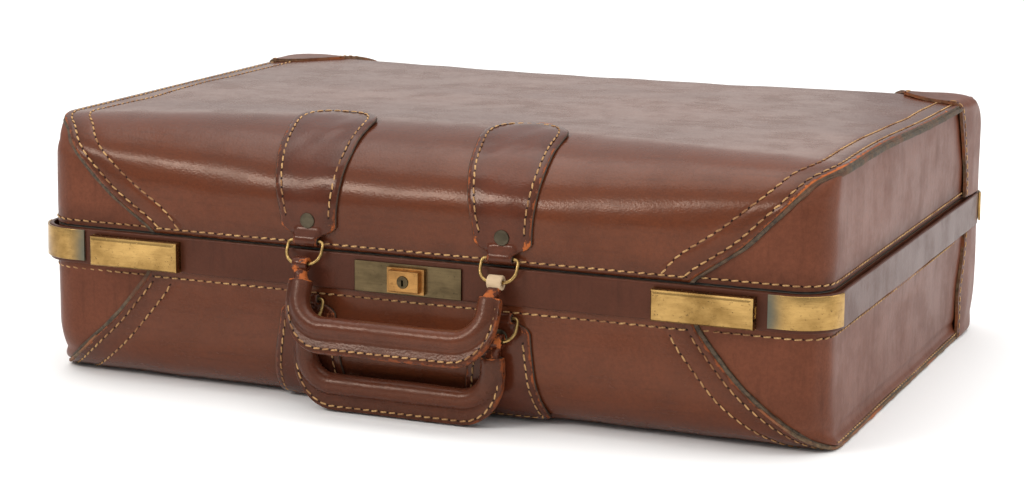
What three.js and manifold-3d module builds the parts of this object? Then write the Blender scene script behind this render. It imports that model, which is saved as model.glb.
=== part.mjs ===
// A framed leather suitcase lying on its back panel, with two handles that meet in the hand.
//
// Units are millimetres. +X runs along the length, +Y to the hinges, +Z up. The origin is the
// centre of the underside. The body is the lower shell, the lid is the upper one.

import * as THREE from "three";
import { mergeVertices } from "three/addons/utils/BufferGeometryUtils.js";
import Module from "manifold-3d";

const wasm = await Module();
wasm.setup();

// ---------------------------------------------------------------- driving dimensions

const GAP = 0.3; // between pieces that touch
const FAR = 400; // reaches past the whole case
const PAST = 5; // how far a cutting shape goes past the face it cuts
const SLOT_BACK = -210; // slots for the catch hooks and the lock end behind the body's front wall
const RIGHT = 1;
const LEFT = -1;
const SIDES = [
  ["left", LEFT],
  ["right", RIGHT],
];

const CASE = {
  halfX: 300,
  halfY: 227.5,
  height: 191,
  wall: 4,
  corner: 27,
  endInset: 2,
};
const BODY = { bottom: 0, top: 111.6, rollY: 40, rollZ: 40 };
const LID = {
  bottom: 113.3,
  top: CASE.height,
  rollY: 85, // the roll between the handle tabs
  rollZ: 48,
  endRollY: 45, // the tighter roll at the ends
  endRollZ: 28,
};
const ROLL_HOLD = 110; // the lid's roll keeps its size this far out from the middle

// Half-length of the wrap panel at each height: its slanted seams run out to the ends.
const BODY_SEAM = [
  [204, BODY.top],
  [206, 84],
  [237, 47],
  [266, 22],
  [285, 7],
  [299, 0],
];
const LID_SEAM = [
  [201, LID.bottom],
  [238, 138],
  [265, 164],
  [283, 183],
  [299, LID.top],
];

const BAND = { bottom: 86, top: 112, thick: 3 };
const FRAME = { offset: CASE.wall + GAP, thick: 2, bottom: 84, top: 112 };
const LIP = { offset: 7.3, thick: 1.5, bottom: 100 };
const LID_FRAME_TOP = 124;
const LINING_THICK = 1.5;

const BAND_FACE = -(CASE.halfY + GAP + BAND.thick); // y of the band's front face
const WALL_FACE = -CASE.halfY;

const GUARD = { bottom: 88.5, top: 111.5, thick: 1.6, frontX: 260, endY: 206 };

const CATCH = {
  innerX: 180,
  outerX: 252,
  bottom: 87,
  top: 109,
  front: -239.3,
  bevel: 2.8,
  skin: 1.3,
  rim: 2.6,
  base: 1,
  lift: 0.9, // of the lever above its base
  pinX: 250,
  pinY: -235.4,
  pinR: 0.8,
  holeR: 1.1,
  lug: 1.5,
  lugZ: [94, 102],
  slack: 0.5,
};
const CATCH_HOOK = { x0: 186, x1: 194, bottom: 95, top: 98, tip: -221.7, clear: 0.8, sideClear: 2.5 };

const LOCK_PLATE = { halfX: 40.7, bottom: 86.5, top: 108.5, thick: 1.5, bevel: 0.5 };
const SLIDER = {
  travel: 6,
  stepHalfX: 14,
  stepZ: [88.5, 106.5],
  stepDepth: 3,
  halfX: 11.5,
  noseZ: [90, 105],
  tip: -240.5,
  bevel: 1,
  stemHalfX: 4,
  stemZ: [94, 98],
  stemEnd: -219.7,
  stemClear: 0.6,
  keyZ: 97.5,
};
const KEY_BARREL = {
  r: 4.2,
  inner: -235.8,
  proud: 0.6,
  slotHalfX: 0.8,
  slotDrop: 2.8,
  slotRise: 1.6,
  slotDepth: 2.5,
};
const BOLT = { armY: [-219.4, -218.1], noseX: 8.4, tailX: 15, inner: -215.2, z: [94, 96.5] };
const LOCK_CASE = { halfX: 24, bottom: 84.5, top: 98.6, depth: 11, wall: 1.2, mouthClear: 1.5 };
const HASP = {
  halfX: 8,
  y: [-216.8, -215.2],
  seatY: -218.4,
  bottom: 89,
  shoulder: 104,
  top: 121,
  notchZ: [93, 97.5],
};

const TAB_X = 74; // handle tabs, rings and handle ends
const TAB_THICK = 3;
const RING = { halfX: 13.5, drop: 17, wireR: 1.2, topCorner: 2.5, bowCorner: 8, split: 0.25 };
const TONGUE = { halfX: 9, outerR: 3.6, holeR: 1.7 };
const RIVET = { r: 5.5, proud: 1.3, shankR: 2 };

// Outlines of the handle tabs, as [half-width, z], read up the front wall.
const LID_TAB = {
  barZ: 119,
  rivetZ: 133,
  front: [
    [17, 123.5],
    [21, 129],
    [21.5, 138],
    [25, 158],
    [28, 174],
    [28, 184],
  ],
  rollY: -204,
  top: [
    [28, -206],
    [31, -180],
    [31, -150],
    [26, -133],
    [14, -124],
  ],
};
const BODY_TAB = {
  barZ: 78,
  rivetZ: 64,
  front: [
    [17, 73.5],
    [21, 68],
    [22, 58],
    [25, 36],
    [30, 14],
    [32, 3],
  ],
  endY: -198,
};

const HANDLE = {
  armX: 71,
  armTop: -3.6,
  tubeR: 7.8,
  barDrop: 43.5,
  bend: 22,
  finDrop: 62,
  finX: 80,
  finThick: 5,
  finBend: 26,
  finTop: -14,
  loopR: 5.2,
  loopHoleR: 2.3,
  loopHalfX: 5.5,
};

// Each handle hangs from rings that lean out from the wall by ringLean degrees; the handle
// itself leans out by handleLean.
const UPPER = { bar: [-232.7, LID_TAB.barZ], ringLean: 27, handleLean: 23 };
const LOWER = { bar: [-232.7, BODY_TAB.barZ], ringLean: 27, handleLean: 0 };

const HINGE = {
  x: 170,
  halfX: 32,
  knuckles: 5,
  y: 234.4,
  z: 112.7,
  knuckleR: 3,
  pinR: 1.5,
  holeR: 1.65,
  leaf: 1.5,
};

// The rear corner patches run from these places on each edge to the corner.
const PATCH = {
  offset: 0.3,
  thick: 2.5,
  topX: 226, // where the lid patch's edge comes over the back roll
  topBack: 211.5,
  slopeY: 22, // where that edge, carried on, is far out to the side
  lowerEndY: 165, // the lid patch's edge on the end, low and high
  upperEndY: 117.5,
  bodyLowY: 155.5, // the body patch's edge on the end, low and high
  bodyTopY: 170,
};

// ---------------------------------------------------------------- materials

function finish(color, roughness, metalness) {
  return new THREE.MeshStandardMaterial({ color, roughness, metalness });
}

const LEATHER = finish("#6f4433", 0.42, 0);
const BAND_LEATHER = finish("#54332c", 0.45, 0);
const LINING = finish("#a08a6c", 0.9, 0);
const BRASS = finish("#c19a55", 0.35, 1);
const BRONZE = finish("#6e5f42", 0.45, 1);
const STEEL = finish("#8d8a84", 0.4, 1);
const RIVET_METAL = finish("#5d5748", 0.5, 1);

// ---------------------------------------------------------------- solids

// The closed solid of a three.js geometry.
function solid(geometry) {
  const bare = geometry.index ? geometry.toNonIndexed() : geometry.clone();
  bare.deleteAttribute("normal");
  bare.deleteAttribute("uv");
  const merged = mergeVertices(bare, 1e-3);
  const mesh = new wasm.Mesh({
    numProp: 3,
    vertProperties: merged.attributes.position.array,
    triVerts: new Uint32Array(merged.index.array),
  });
  return new wasm.Manifold(mesh);
}

// The three.js geometry of a closed solid.
function geometryOf(shape) {
  const mesh = shape.getMesh();
  const positions = new THREE.BufferAttribute(mesh.vertProperties.slice(), 3);
  const geometry = new THREE.BufferGeometry();
  geometry.setAttribute("position", positions);
  geometry.setIndex(new THREE.BufferAttribute(mesh.triVerts.slice(), 1));
  return geometry;
}

function block(x, y, z) {
  const size = [x[1] - x[0], y[1] - y[0], z[1] - z[0]];
  const geometry = new THREE.BoxGeometry(...size);
  geometry.translate((x[0] + x[1]) / 2, (y[0] + y[1]) / 2, (z[0] + z[1]) / 2);
  return solid(geometry);
}

// The extent of a block on one side of the case, from its distances to the centre plane.
function span(side, near, far) {
  return side > 0 ? [near, far] : [-far, -near];
}

function shapeOf(points) {
  return new THREE.Shape(points.map(([u, v]) => new THREE.Vector2(u, v)));
}

function extruded(shape, depth, segments = 4) {
  const options = { depth, bevelEnabled: false, curveSegments: segments };
  return new THREE.ExtrudeGeometry(shape, options);
}

// A plan outline in x and y, raised from one height to another.
function prismZ(shape, from, to) {
  return solid(extruded(shape, to - from).translate(0, 0, from));
}

// A front outline in x and z, drawn out from one depth to another.
function prismY(shape, from, to) {
  return solid(extruded(shape, to - from).rotateX(Math.PI / 2).translate(0, to, 0));
}

// A side outline in y and z, drawn out along the length.
function prismX(shape, from, to) {
  const turn = new THREE.Matrix4().makeBasis(
    new THREE.Vector3(0, 1, 0),
    new THREE.Vector3(0, 0, 1),
    new THREE.Vector3(1, 0, 0),
  );
  return solid(extruded(shape, to - from).applyMatrix4(turn).translate(from, 0, 0));
}

function cylinderX(radius, from, to, y, z, segments = 12) {
  const geometry = new THREE.CylinderGeometry(radius, radius, to - from, segments);
  geometry.rotateZ(Math.PI / 2);
  return solid(geometry.translate((from + to) / 2, y, z));
}

function cylinderY(radius, from, to, x, z, segments = 24) {
  const geometry = new THREE.CylinderGeometry(radius, radius, to - from, segments);
  return solid(geometry.translate(x, (from + to) / 2, z));
}

function cylinderZ(radius, from, to, x, y, segments = 16) {
  const geometry = new THREE.CylinderGeometry(radius, radius, to - from, segments);
  geometry.rotateX(Math.PI / 2);
  return solid(geometry.translate(x, y, (from + to) / 2));
}

// A rectangle with round corners about the case's centre.
function planShape(inset, corner = CASE.corner) {
  const x = CASE.halfX - inset;
  const y = CASE.halfY - inset;
  const r = Math.max(corner - inset, 1);
  const shape = new THREE.Shape();
  shape.absarc(x - r, y - r, r, 0, Math.PI / 2, false);
  shape.absarc(-x + r, y - r, r, Math.PI / 2, Math.PI, false);
  shape.absarc(-x + r, -y + r, r, Math.PI, (3 * Math.PI) / 2, false);
  shape.absarc(x - r, -y + r, r, (3 * Math.PI) / 2, 2 * Math.PI, false);
  shape.closePath();
  return shape;
}

// The side outline of the body, or of the lid, with its two rolled edges.
function profileShape(part, inset, roll = [part.rollY, part.rollZ]) {
  const y = CASE.halfY - inset;
  const rollY = roll[0] - inset;
  const rollZ = roll[1] - inset;
  const shape = new THREE.Shape();
  const quarter = Math.PI / 2;
  if (part === LID) {
    const top = part.top - inset;
    shape.moveTo(-y, part.bottom);
    shape.lineTo(y, part.bottom);
    shape.absellipse(y - rollY, top - rollZ, rollY, rollZ, 0, quarter, false, 0);
    shape.absellipse(-y + rollY, top - rollZ, rollY, rollZ, quarter, 2 * quarter, false, 0);
  } else {
    const bottom = part.bottom + inset;
    shape.moveTo(y, part.top);
    shape.lineTo(-y, part.top);
    shape.absellipse(-y + rollY, bottom + rollZ, rollY, rollZ, 2 * quarter, 3 * quarter, false, 0);
    shape.absellipse(y - rollY, bottom + rollZ, rollY, rollZ, 3 * quarter, 4 * quarter, false, 0);
  }
  shape.closePath();
  return shape;
}

// The lid's roll tightens from the middle out to each end.
function rolledLid(inset) {
  const length = CASE.halfX - inset;
  const middle = profileShape(LID, inset);
  const end = profileShape(LID, inset, [LID.endRollY, LID.endRollZ]);
  let shape = prismX(middle, -ROLL_HOLD, ROLL_HOLD);
  for (const [, side] of SIDES) {
    const near = prismX(middle, ...span(side, ROLL_HOLD - 1, ROLL_HOLD));
    const far = prismX(end, ...span(side, length - 1, length));
    shape = shape.add(wasm.Manifold.hull([near, far]));
  }
  return shape;
}

// The body or the lid as one filled block, its skin set in by some amount.
function filled(part, inset) {
  const length = CASE.halfX - inset;
  const rolled = part === LID ? rolledLid(inset) : prismX(profileShape(part, inset), -length, length);
  const rounded = prismZ(planShape(inset), -10, CASE.height + 10);
  return rolled.intersect(rounded);
}

function hollow(part, outerInset, innerInset) {
  const inner = filled(part, innerInset);
  const past = part === LID ? -5 : 5;
  return filled(part, outerInset).subtract(inner.add(inner.translate([0, 0, past])));
}

// An upright ring all round the case, between two insets and two heights.
function ring(outerInset, innerInset, from, to) {
  const outer = prismZ(planShape(outerInset), from, to);
  return outer.subtract(prismZ(planShape(innerInset), from - 1, to + 1));
}

// Everything beyond the slanted seam of one end.
function endRegion(seam, side, shift) {
  const curve = new THREE.CatmullRomCurve3(seam.map(([x, z]) => new THREE.Vector3(x, 0, z)));
  const points = curve.getPoints(10).map((p) => [side * (p.x + shift), p.z]);
  const first = points[0];
  const last = points[points.length - 1];
  const over = Math.sign(first[1] - last[1]) * 20;
  points.unshift([first[0], first[1] + over]);
  points.push([last[0], last[1] - over]);
  points.push([side * FAR, last[1] - over]);
  points.push([side * FAR, first[1] + over]);
  return prismY(shapeOf(points), -FAR, FAR);
}

// ---------------------------------------------------------------- the assembly

const object = new THREE.Group();

function addMesh(name, geometry, material, parent = object) {
  const mesh = new THREE.Mesh(geometry, material);
  mesh.name = name;
  parent.add(mesh);
  return mesh;
}

function addSolid(name, shape, material, parent = object) {
  return addMesh(name, geometryOf(shape), material, parent);
}

// Slots through the front wall, the band and the frame for the catch hooks and the lock.
function frontSlots() {
  const y = [BAND_FACE - PAST, SLOT_BACK];
  const hook = CATCH_HOOK;
  const z = [hook.bottom - hook.clear, hook.top + hook.clear];
  const stem = SLIDER.stemHalfX + SLIDER.stemClear;
  const stemZ = [SLIDER.stemZ[0] - SLIDER.stemClear, SLIDER.stemZ[1] + SLIDER.stemClear];
  let slots = block([-stem, stem + SLIDER.travel], y, stemZ);
  for (const [, side] of SIDES) {
    slots = slots.add(block(span(side, hook.x0 - hook.sideClear, hook.x1 + hook.sideClear), y, z));
  }
  return slots;
}

function addShell(prefix, part, seam, slots) {
  const wrapShell = hollow(part, 0, CASE.wall);
  const endShell = hollow(part, CASE.endInset, CASE.wall);
  let wrap = wrapShell;
  for (const [word, side] of SIDES) {
    wrap = wrap.subtract(endRegion(seam, side, -GAP));
    const end = endShell.intersect(endRegion(seam, side, 0));
    addSolid(`${prefix}_end_${word}`, end, LEATHER);
  }
  addSolid(`${prefix}_wrap_panel`, slots ? wrap.subtract(slots) : wrap, LEATHER);
}

function addFrames(slots) {
  const band = ring(-GAP - BAND.thick, -GAP, BAND.bottom, BAND.top);
  addSolid("body_band", band.subtract(slots), BAND_LEATHER);

  const inner = FRAME.offset + FRAME.thick;
  const frame = ring(FRAME.offset, inner, FRAME.bottom, FRAME.top);
  addSolid("body_frame", frame.subtract(slots), STEEL);

  const lip = ring(LIP.offset, LIP.offset + LIP.thick, LIP.bottom, LID_FRAME_TOP);
  const flange = ring(FRAME.offset, LIP.offset + LIP.thick, LID.bottom, LID_FRAME_TOP);
  addSolid("lid_frame", lip.add(flange), STEEL);
}

function addLinings() {
  const outer = CASE.wall + GAP;
  const inner = outer + LINING_THICK;
  const low = block([-FAR, FAR], [-FAR, FAR], [-10, FRAME.bottom - GAP]);
  addSolid("body_lining", hollow(BODY, outer, inner).intersect(low), LINING);
  const high = block([-FAR, FAR], [-FAR, FAR], [LID_FRAME_TOP + GAP, FAR]);
  addSolid("lid_lining", hollow(LID, outer, inner).intersect(high), LINING);
}

// Leather caps sewn over the two rear corners of the body and of the lid.
function addPatches() {
  const outer = -PATCH.offset - PATCH.thick;
  for (const [word, side] of SIDES) {
    const plan = shapeOf([
      [side * PATCH.topX, FAR],
      [side * PATCH.topX, PATCH.topBack],
      [side * FAR, PATCH.slopeY],
      [side * FAR, FAR],
    ]);
    const overTop = prismZ(plan, -10, FAR);
    const lidEnd = shapeOf([
      [FAR, LID.bottom + GAP],
      [PATCH.lowerEndY, LID.bottom + GAP],
      [PATCH.upperEndY, LID.top + PAST],
      [FAR, LID.top + PAST],
    ]);
    const lidSkin = filled(LID, outer).subtract(filled(LID, -PATCH.offset));
    const lidShape = lidSkin.intersect(prismX(lidEnd, -FAR, FAR)).intersect(overTop);
    addSolid(`lid_rear_patch_${word}`, lidShape, LEATHER);

    const bodyEnd = shapeOf([
      [FAR, GAP],
      [PATCH.bodyLowY, GAP],
      [PATCH.bodyTopY, BAND.bottom - GAP],
      [FAR, BAND.bottom - GAP],
    ]);
    const bodySkin = filled(BODY, outer).subtract(filled(BODY, -PATCH.offset));
    const bodyShape = bodySkin.intersect(prismX(bodyEnd, -FAR, FAR)).intersect(overTop);
    addSolid(`body_rear_patch_${word}`, bodyShape, LEATHER);
  }
}

// Brass straps that wrap the band at the four corners.
function addGuards() {
  const outside = -(BAND.thick + 2 * GAP);
  const strap = ring(outside - GUARD.thick, outside, GUARD.bottom, GUARD.top);
  for (const [word, side] of SIDES) {
    for (const [place, facing] of [
      ["front", -1],
      ["rear", 1],
    ]) {
      const x = span(side, GUARD.frontX, FAR);
      const y = span(facing, GUARD.endY, FAR);
      const corner = block(x, y, [0, FAR]);
      addSolid(`corner_guard_${place}_${word}`, strap.intersect(corner), BRASS);
    }
  }
}

// ---------------------------------------------------------------- catches

// A plate in x and z, flat at the back, with every edge of its front face bevelled.
function pillow(x, z, back, front, bevel) {
  const outline = shapeOf([
    [x[0] + bevel, z[0] + bevel],
    [x[1] - bevel, z[0] + bevel],
    [x[1] - bevel, z[1] - bevel],
    [x[0] + bevel, z[1] - bevel],
  ]);
  const depth = 2 * (back - front - bevel);
  const geometry = new THREE.ExtrudeGeometry(outline, {
    depth,
    bevelThickness: bevel,
    bevelSize: bevel,
    bevelSegments: 3,
  });
  geometry.rotateX(Math.PI / 2).translate(0, back + depth / 2, 0);
  return solid(geometry).intersect(block(x, [front, back], z));
}

// The fixed plate under a catch, with the lug that its hinge pin runs through.
function catchBase(side) {
  const back = BAND_FACE - GAP;
  const front = back - CATCH.base;
  const x = span(side, CATCH.innerX, CATCH.outerX);
  const plate = block(x, [front, back], [CATCH.bottom, CATCH.top]);
  const lugX = span(side, CATCH.pinX - CATCH.lug, CATCH.pinX + CATCH.lug);
  const lug = block(lugX, [CATCH.pinY - CATCH.lug, front + 0.1], CATCH.lugZ);
  const hole = cylinderZ(CATCH.holeR, 0, FAR, side * CATCH.pinX, CATCH.pinY, 10);
  return plate.add(lug).subtract(hole);
}

// The hollow lever of a catch, with the hook that reaches in through the wall.
function catchLever(side) {
  const back = BAND_FACE - GAP - CATCH.base - CATCH.lift;
  const x = span(side, CATCH.innerX, CATCH.outerX);
  const inside = span(side, CATCH.innerX + CATCH.rim, CATCH.outerX - CATCH.rim);
  const insideZ = [CATCH.bottom + CATCH.rim, CATCH.top - CATCH.rim];
  const floor = CATCH.front + CATCH.skin;
  const pocket = block(inside, [floor, back + 1], insideZ);
  const notchX = span(side, CATCH.outerX - 2 * CATCH.rim, CATCH.outerX + 1);
  const notchZ = [CATCH.lugZ[0] - CATCH.slack, CATCH.lugZ[1] + CATCH.slack];
  const notch = block(notchX, [floor, back + 1], notchZ);
  const hook = CATCH_HOOK;
  const hookX = span(side, hook.x0, hook.x1);
  const arm = block(hookX, [floor - 0.5, hook.tip], [hook.bottom, hook.top]);
  const hole = cylinderZ(CATCH.holeR, 0, FAR, side * CATCH.pinX, CATCH.pinY, 10);
  const cover = pillow(x, [CATCH.bottom, CATCH.top], back, CATCH.front, CATCH.bevel);
  return cover.subtract(pocket).subtract(notch).subtract(hole).add(arm);
}

function addCatches(slots) {
  const pinEnds = [CATCH.bottom + 0.6, CATCH.top - 0.6];
  for (const [word, side] of SIDES) {
    addSolid(`catch_base_${word}`, catchBase(side).subtract(slots), BRASS);
    addSolid(`catch_lever_${word}`, catchLever(side), BRASS);
    const pin = cylinderZ(CATCH.pinR, ...pinEnds, side * CATCH.pinX, CATCH.pinY, 10);
    addSolid(`catch_pin_${word}`, pin, STEEL);
  }
}

// ---------------------------------------------------------------- lock

function addLockPlate(slots) {
  const back = BAND_FACE - GAP;
  const x = [-LOCK_PLATE.halfX, LOCK_PLATE.halfX];
  const z = [LOCK_PLATE.bottom, LOCK_PLATE.top];
  const plate = pillow(x, z, back, back - LOCK_PLATE.thick, LOCK_PLATE.bevel);
  addSolid("lock_plate", plate.subtract(slots), BRONZE);
}

// The stepped thumb slide, with the stem that carries the bolt inside the case.
function addSlider() {
  const s = SLIDER;
  const back = BAND_FACE - 2 * GAP - LOCK_PLATE.thick;
  const step = block([-s.stepHalfX, s.stepHalfX], [back - s.stepDepth, back], s.stepZ);
  const nose = pillow([-s.halfX, s.halfX], s.noseZ, back, s.tip, s.bevel);
  const stem = block([-s.stemHalfX, s.stemHalfX], [back - 1, s.stemEnd], s.stemZ);
  const bore = cylinderY(KEY_BARREL.r + GAP, s.tip - 1, KEY_BARREL.inner + GAP, 0, s.keyZ);
  addSolid("lock_slider", step.add(nose).add(stem).subtract(bore), BRASS);
}

function addKeyBarrel() {
  const k = KEY_BARREL;
  const barrel = cylinderY(k.r, SLIDER.tip - k.proud, k.inner, 0, SLIDER.keyZ);
  const slot = block(
    [-k.slotHalfX, k.slotHalfX],
    [SLIDER.tip - 2, SLIDER.tip + k.slotDepth],
    [SLIDER.keyZ - k.slotDrop, SLIDER.keyZ + k.slotRise],
  );
  addSolid("key_barrel", barrel.subtract(slot), BRONZE);
}

// The bolt stops beside the hasp's notch, short of it.
function addBolt() {
  const b = BOLT;
  const arm = block([-SLIDER.stemHalfX, b.tailX], b.armY, b.z);
  const nose = block([b.noseX, b.tailX], [b.armY[1] - 0.1, b.inner], b.z);
  addSolid("lock_bolt", arm.add(nose), STEEL);
}

function addLockCase() {
  const c = LOCK_CASE;
  const front = -(CASE.halfY - FRAME.offset - FRAME.thick - GAP);
  const inner = front + c.depth;
  const box = block([-c.halfX, c.halfX], [front, inner], [c.bottom, c.top]);
  const room = block(
    [-c.halfX + c.wall, c.halfX - c.wall],
    [front + c.wall, inner - c.wall],
    [c.bottom + c.wall, c.top - c.wall],
  );
  const mouth = block(
    [-HASP.halfX - c.mouthClear, HASP.halfX + c.mouthClear],
    [front + c.wall, inner - c.wall],
    [c.top - 2 * c.wall, c.top + 1],
  );
  const stem = SLIDER.stemHalfX + SLIDER.stemClear;
  const stemPath = block(
    [-stem, stem + SLIDER.travel],
    [front - 1, front + 2 * c.wall],
    [SLIDER.stemZ[0] - SLIDER.stemClear, SLIDER.stemZ[1] + SLIDER.stemClear],
  );
  addSolid("lock_case", box.subtract(room).subtract(mouth).subtract(stemPath), STEEL);
}

// The lid's hooked hasp, which drops into the lock case.
function addHasp() {
  const h = HASP;
  const x = [-h.halfX, h.halfX];
  const tongue = block(x, h.y, [h.bottom, h.shoulder + 1]);
  const shoulder = block(x, [h.seatY, h.y[1]], [h.shoulder, h.top]);
  const notch = block([0, h.halfX + 1], [h.y[0] - 1, h.y[1] + 1], h.notchZ);
  addSolid("lid_hasp", tongue.add(shoulder).subtract(notch), BRASS);
}

// ---------------------------------------------------------------- handles

// A flat path in x and z as a curve in space.
class UprightPath extends THREE.Curve {
  constructor(path) {
    super();
    this.path = path;
  }

  getPoint(t) {
    const p = this.path.getPoint(t);
    return new THREE.Vector3(p.x, 0, p.y);
  }
}

function rod(path, radius, halfSides, steps) {
  const section = new THREE.Shape().absarc(0, 0, radius, 0, 2 * Math.PI, false);
  const extrudePath = new UprightPath(path);
  return new THREE.ExtrudeGeometry(section, { steps, curveSegments: halfSides, extrudePath });
}

// A wire ring with a straight bar at the top, split where the tongue covers it.
function ringGeometry() {
  const r = RING;
  const path = new THREE.Path();
  const low = -r.drop + r.bowCorner;
  const quarter = Math.PI / 2;
  path.moveTo(r.split, 0);
  path.lineTo(r.halfX - r.topCorner, 0);
  path.absarc(r.halfX - r.topCorner, -r.topCorner, r.topCorner, quarter, 0, true);
  path.lineTo(r.halfX, low);
  path.absarc(r.halfX - r.bowCorner, low, r.bowCorner, 0, -quarter, true);
  path.lineTo(-r.halfX + r.bowCorner, -r.drop);
  path.absarc(-r.halfX + r.bowCorner, low, r.bowCorner, -quarter, -2 * quarter, true);
  path.lineTo(-r.halfX, -r.topCorner);
  path.absarc(-r.halfX + r.topCorner, -r.topCorner, r.topCorner, 2 * quarter, quarter, true);
  path.lineTo(-r.split, 0);
  return rod(path, r.wireR, 4, 40);
}

// The leather grip: a round bar with a flat sewn fin outside it, and a loop at each end.
function handleSolid() {
  const h = HANDLE;
  const quarter = Math.PI / 2;
  const low = -h.barDrop + h.bend;
  const path = new THREE.Path();
  path.moveTo(-h.armX, h.armTop);
  path.lineTo(-h.armX, low);
  path.absarc(-h.armX + h.bend, low, h.bend, 2 * quarter, 3 * quarter, false);
  path.lineTo(h.armX - h.bend, -h.barDrop);
  path.absarc(h.armX - h.bend, low, h.bend, 3 * quarter, 4 * quarter, false);
  path.lineTo(h.armX, h.armTop);
  const bar = solid(rod(path, h.tubeR, 6, 36));

  const lowFin = -h.finDrop + h.finBend;
  const fin = new THREE.Shape();
  fin.moveTo(-h.armX, h.finTop);
  fin.lineTo(-h.armX - h.tubeR + 1, h.finTop);
  fin.lineTo(-h.finX, lowFin);
  fin.absarc(-h.finX + h.finBend, lowFin, h.finBend, 2 * quarter, 3 * quarter, false);
  fin.lineTo(h.finX - h.finBend, -h.finDrop);
  fin.absarc(h.finX - h.finBend, lowFin, h.finBend, 3 * quarter, 4 * quarter, false);
  fin.lineTo(h.armX + h.tubeR - 1, h.finTop);
  fin.lineTo(h.armX, h.finTop);
  fin.lineTo(h.armX, low);
  fin.absarc(h.armX - h.bend, low, h.bend, 4 * quarter, 3 * quarter, true);
  fin.lineTo(-h.armX + h.bend, -h.barDrop);
  fin.absarc(-h.armX + h.bend, low, h.bend, 3 * quarter, 2 * quarter, true);
  fin.closePath();
  let shape = bar.add(prismY(fin, -h.finThick / 2, h.finThick / 2));

  for (const [, side] of SIDES) {
    const loop = span(side, TAB_X - h.loopHalfX, TAB_X + h.loopHalfX);
    const hole = span(side, TAB_X - h.loopHalfX - 1, TAB_X + h.loopHalfX + 1);
    shape = shape.add(cylinderX(h.loopR, ...loop, 0, 0));
    shape = shape.subtract(cylinderX(h.loopHoleR, ...hole, 0, 0));
  }
  return shape;
}

function degrees(angle) {
  return THREE.MathUtils.degToRad(angle);
}

// Two rings and the handle that hangs from them.
function addHandle(prefix, place) {
  const [barY, barZ] = place.bar;
  const lean = degrees(place.ringLean);
  for (const [word, side] of SIDES) {
    const mesh = addMesh(`${prefix}_ring_${word}`, ringGeometry(), BRASS);
    mesh.position.set(side * TAB_X, barY, barZ);
    mesh.rotation.x = -lean;
  }
  const handle = addSolid(`${prefix}_handle`, handleSolid(), LEATHER);
  handle.position.set(0, barY - RING.drop * Math.sin(lean), barZ - RING.drop * Math.cos(lean));
  handle.rotation.x = -degrees(place.handleLean);
}

// A front outline, mirrored about the centre of the tab.
function mirrored(side, halfOutline) {
  const centre = side * TAB_X;
  const right = halfOutline.map(([half, v]) => [centre + half, v]);
  const left = halfOutline.map(([half, v]) => [centre - half, v]).reverse();
  return shapeOf([...right, ...left]);
}

// The tongue of a tab, folded round the straight bar of its ring.
function withTongue(plate, side, place) {
  const [barY, barZ] = place.bar;
  const x = [side * TAB_X - TONGUE.halfX, side * TAB_X + TONGUE.halfX];
  const fold = cylinderX(TONGUE.outerR, ...x, barY, barZ);
  const hole = cylinderX(TONGUE.holeR, x[0] - 1, x[1] + 1, barY, barZ);
  return plate.add(fold).subtract(hole);
}

function skin(part) {
  return filled(part, -GAP - TAB_THICK).subtract(filled(part, -GAP));
}

function addTabs() {
  const outer = skin(LID);
  const below = skin(BODY);
  const half = TONGUE.halfX;
  for (const [word, side] of SIDES) {
    const upFront = [[half, LID_TAB.barZ - 1.5], [half, LID_TAB.barZ + 2.5], ...LID_TAB.front];
    const front = prismY(mirrored(side, upFront), -FAR, LID_TAB.rollY);
    const over = prismZ(mirrored(side, LID_TAB.top), LID_TAB.barZ, FAR);
    const lidTab = withTongue(outer.intersect(front.add(over)), side, UPPER);
    const lidHole = rivetHole(side, LID_TAB.rivetZ);
    addSolid(`lid_tab_${word}`, lidTab.subtract(lidHole), LEATHER);

    const down = [[half, BODY_TAB.barZ + 1.5], [half, BODY_TAB.barZ - 2.5], ...BODY_TAB.front];
    const lowerTab = prismY(mirrored(side, down), -FAR, BODY_TAB.endY);
    const bodyTab = withTongue(below.intersect(lowerTab), side, LOWER);
    const bodyHole = rivetHole(side, BODY_TAB.rivetZ);
    addSolid(`body_tab_${word}`, bodyTab.subtract(bodyHole), LEATHER);
  }
}

function rivetHole(side, z) {
  return cylinderY(RIVET.shankR + GAP, -FAR, -200, side * TAB_X, z, 12);
}

// Rivets clamp the tabs to the wall.
function addRivets() {
  const seat = WALL_FACE - GAP - TAB_THICK - GAP;
  const inner = WALL_FACE + CASE.wall - GAP;
  for (const [word, side] of SIDES) {
    for (const [prefix, z] of [
      ["lid", LID_TAB.rivetZ],
      ["body", BODY_TAB.rivetZ],
    ]) {
      const head = cylinderY(RIVET.r, seat - RIVET.proud, seat, side * TAB_X, z);
      const shank = cylinderY(RIVET.shankR, seat - 0.1, inner, side * TAB_X, z, 12);
      addSolid(`${prefix}_tab_rivet_${word}`, head.add(shank), RIVET_METAL);
    }
  }
}

// ---------------------------------------------------------------- hinges

// One leaf: a plate from side outline to side outline, with webs that carry its knuckles.
function hingeLeaf(centre, plate, web, owned) {
  const from = centre - HINGE.halfX;
  const pitch = (2 * HINGE.halfX) / HINGE.knuckles;
  let leaf = prismX(shapeOf(plate), from, centre + HINGE.halfX);
  for (let i = 0; i < HINGE.knuckles; i += 1) {
    if (i % 2 !== owned) continue;
    const x = [from + i * pitch + GAP / 2, from + (i + 1) * pitch - GAP / 2];
    leaf = leaf.add(prismX(shapeOf(web), ...x));
    leaf = leaf.add(cylinderX(HINGE.knuckleR, ...x, HINGE.y, HINGE.z));
  }
  const hole = cylinderX(HINGE.holeR, from - 1, centre + HINGE.halfX + 1, HINGE.y, HINGE.z);
  return leaf.subtract(hole);
}

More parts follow.
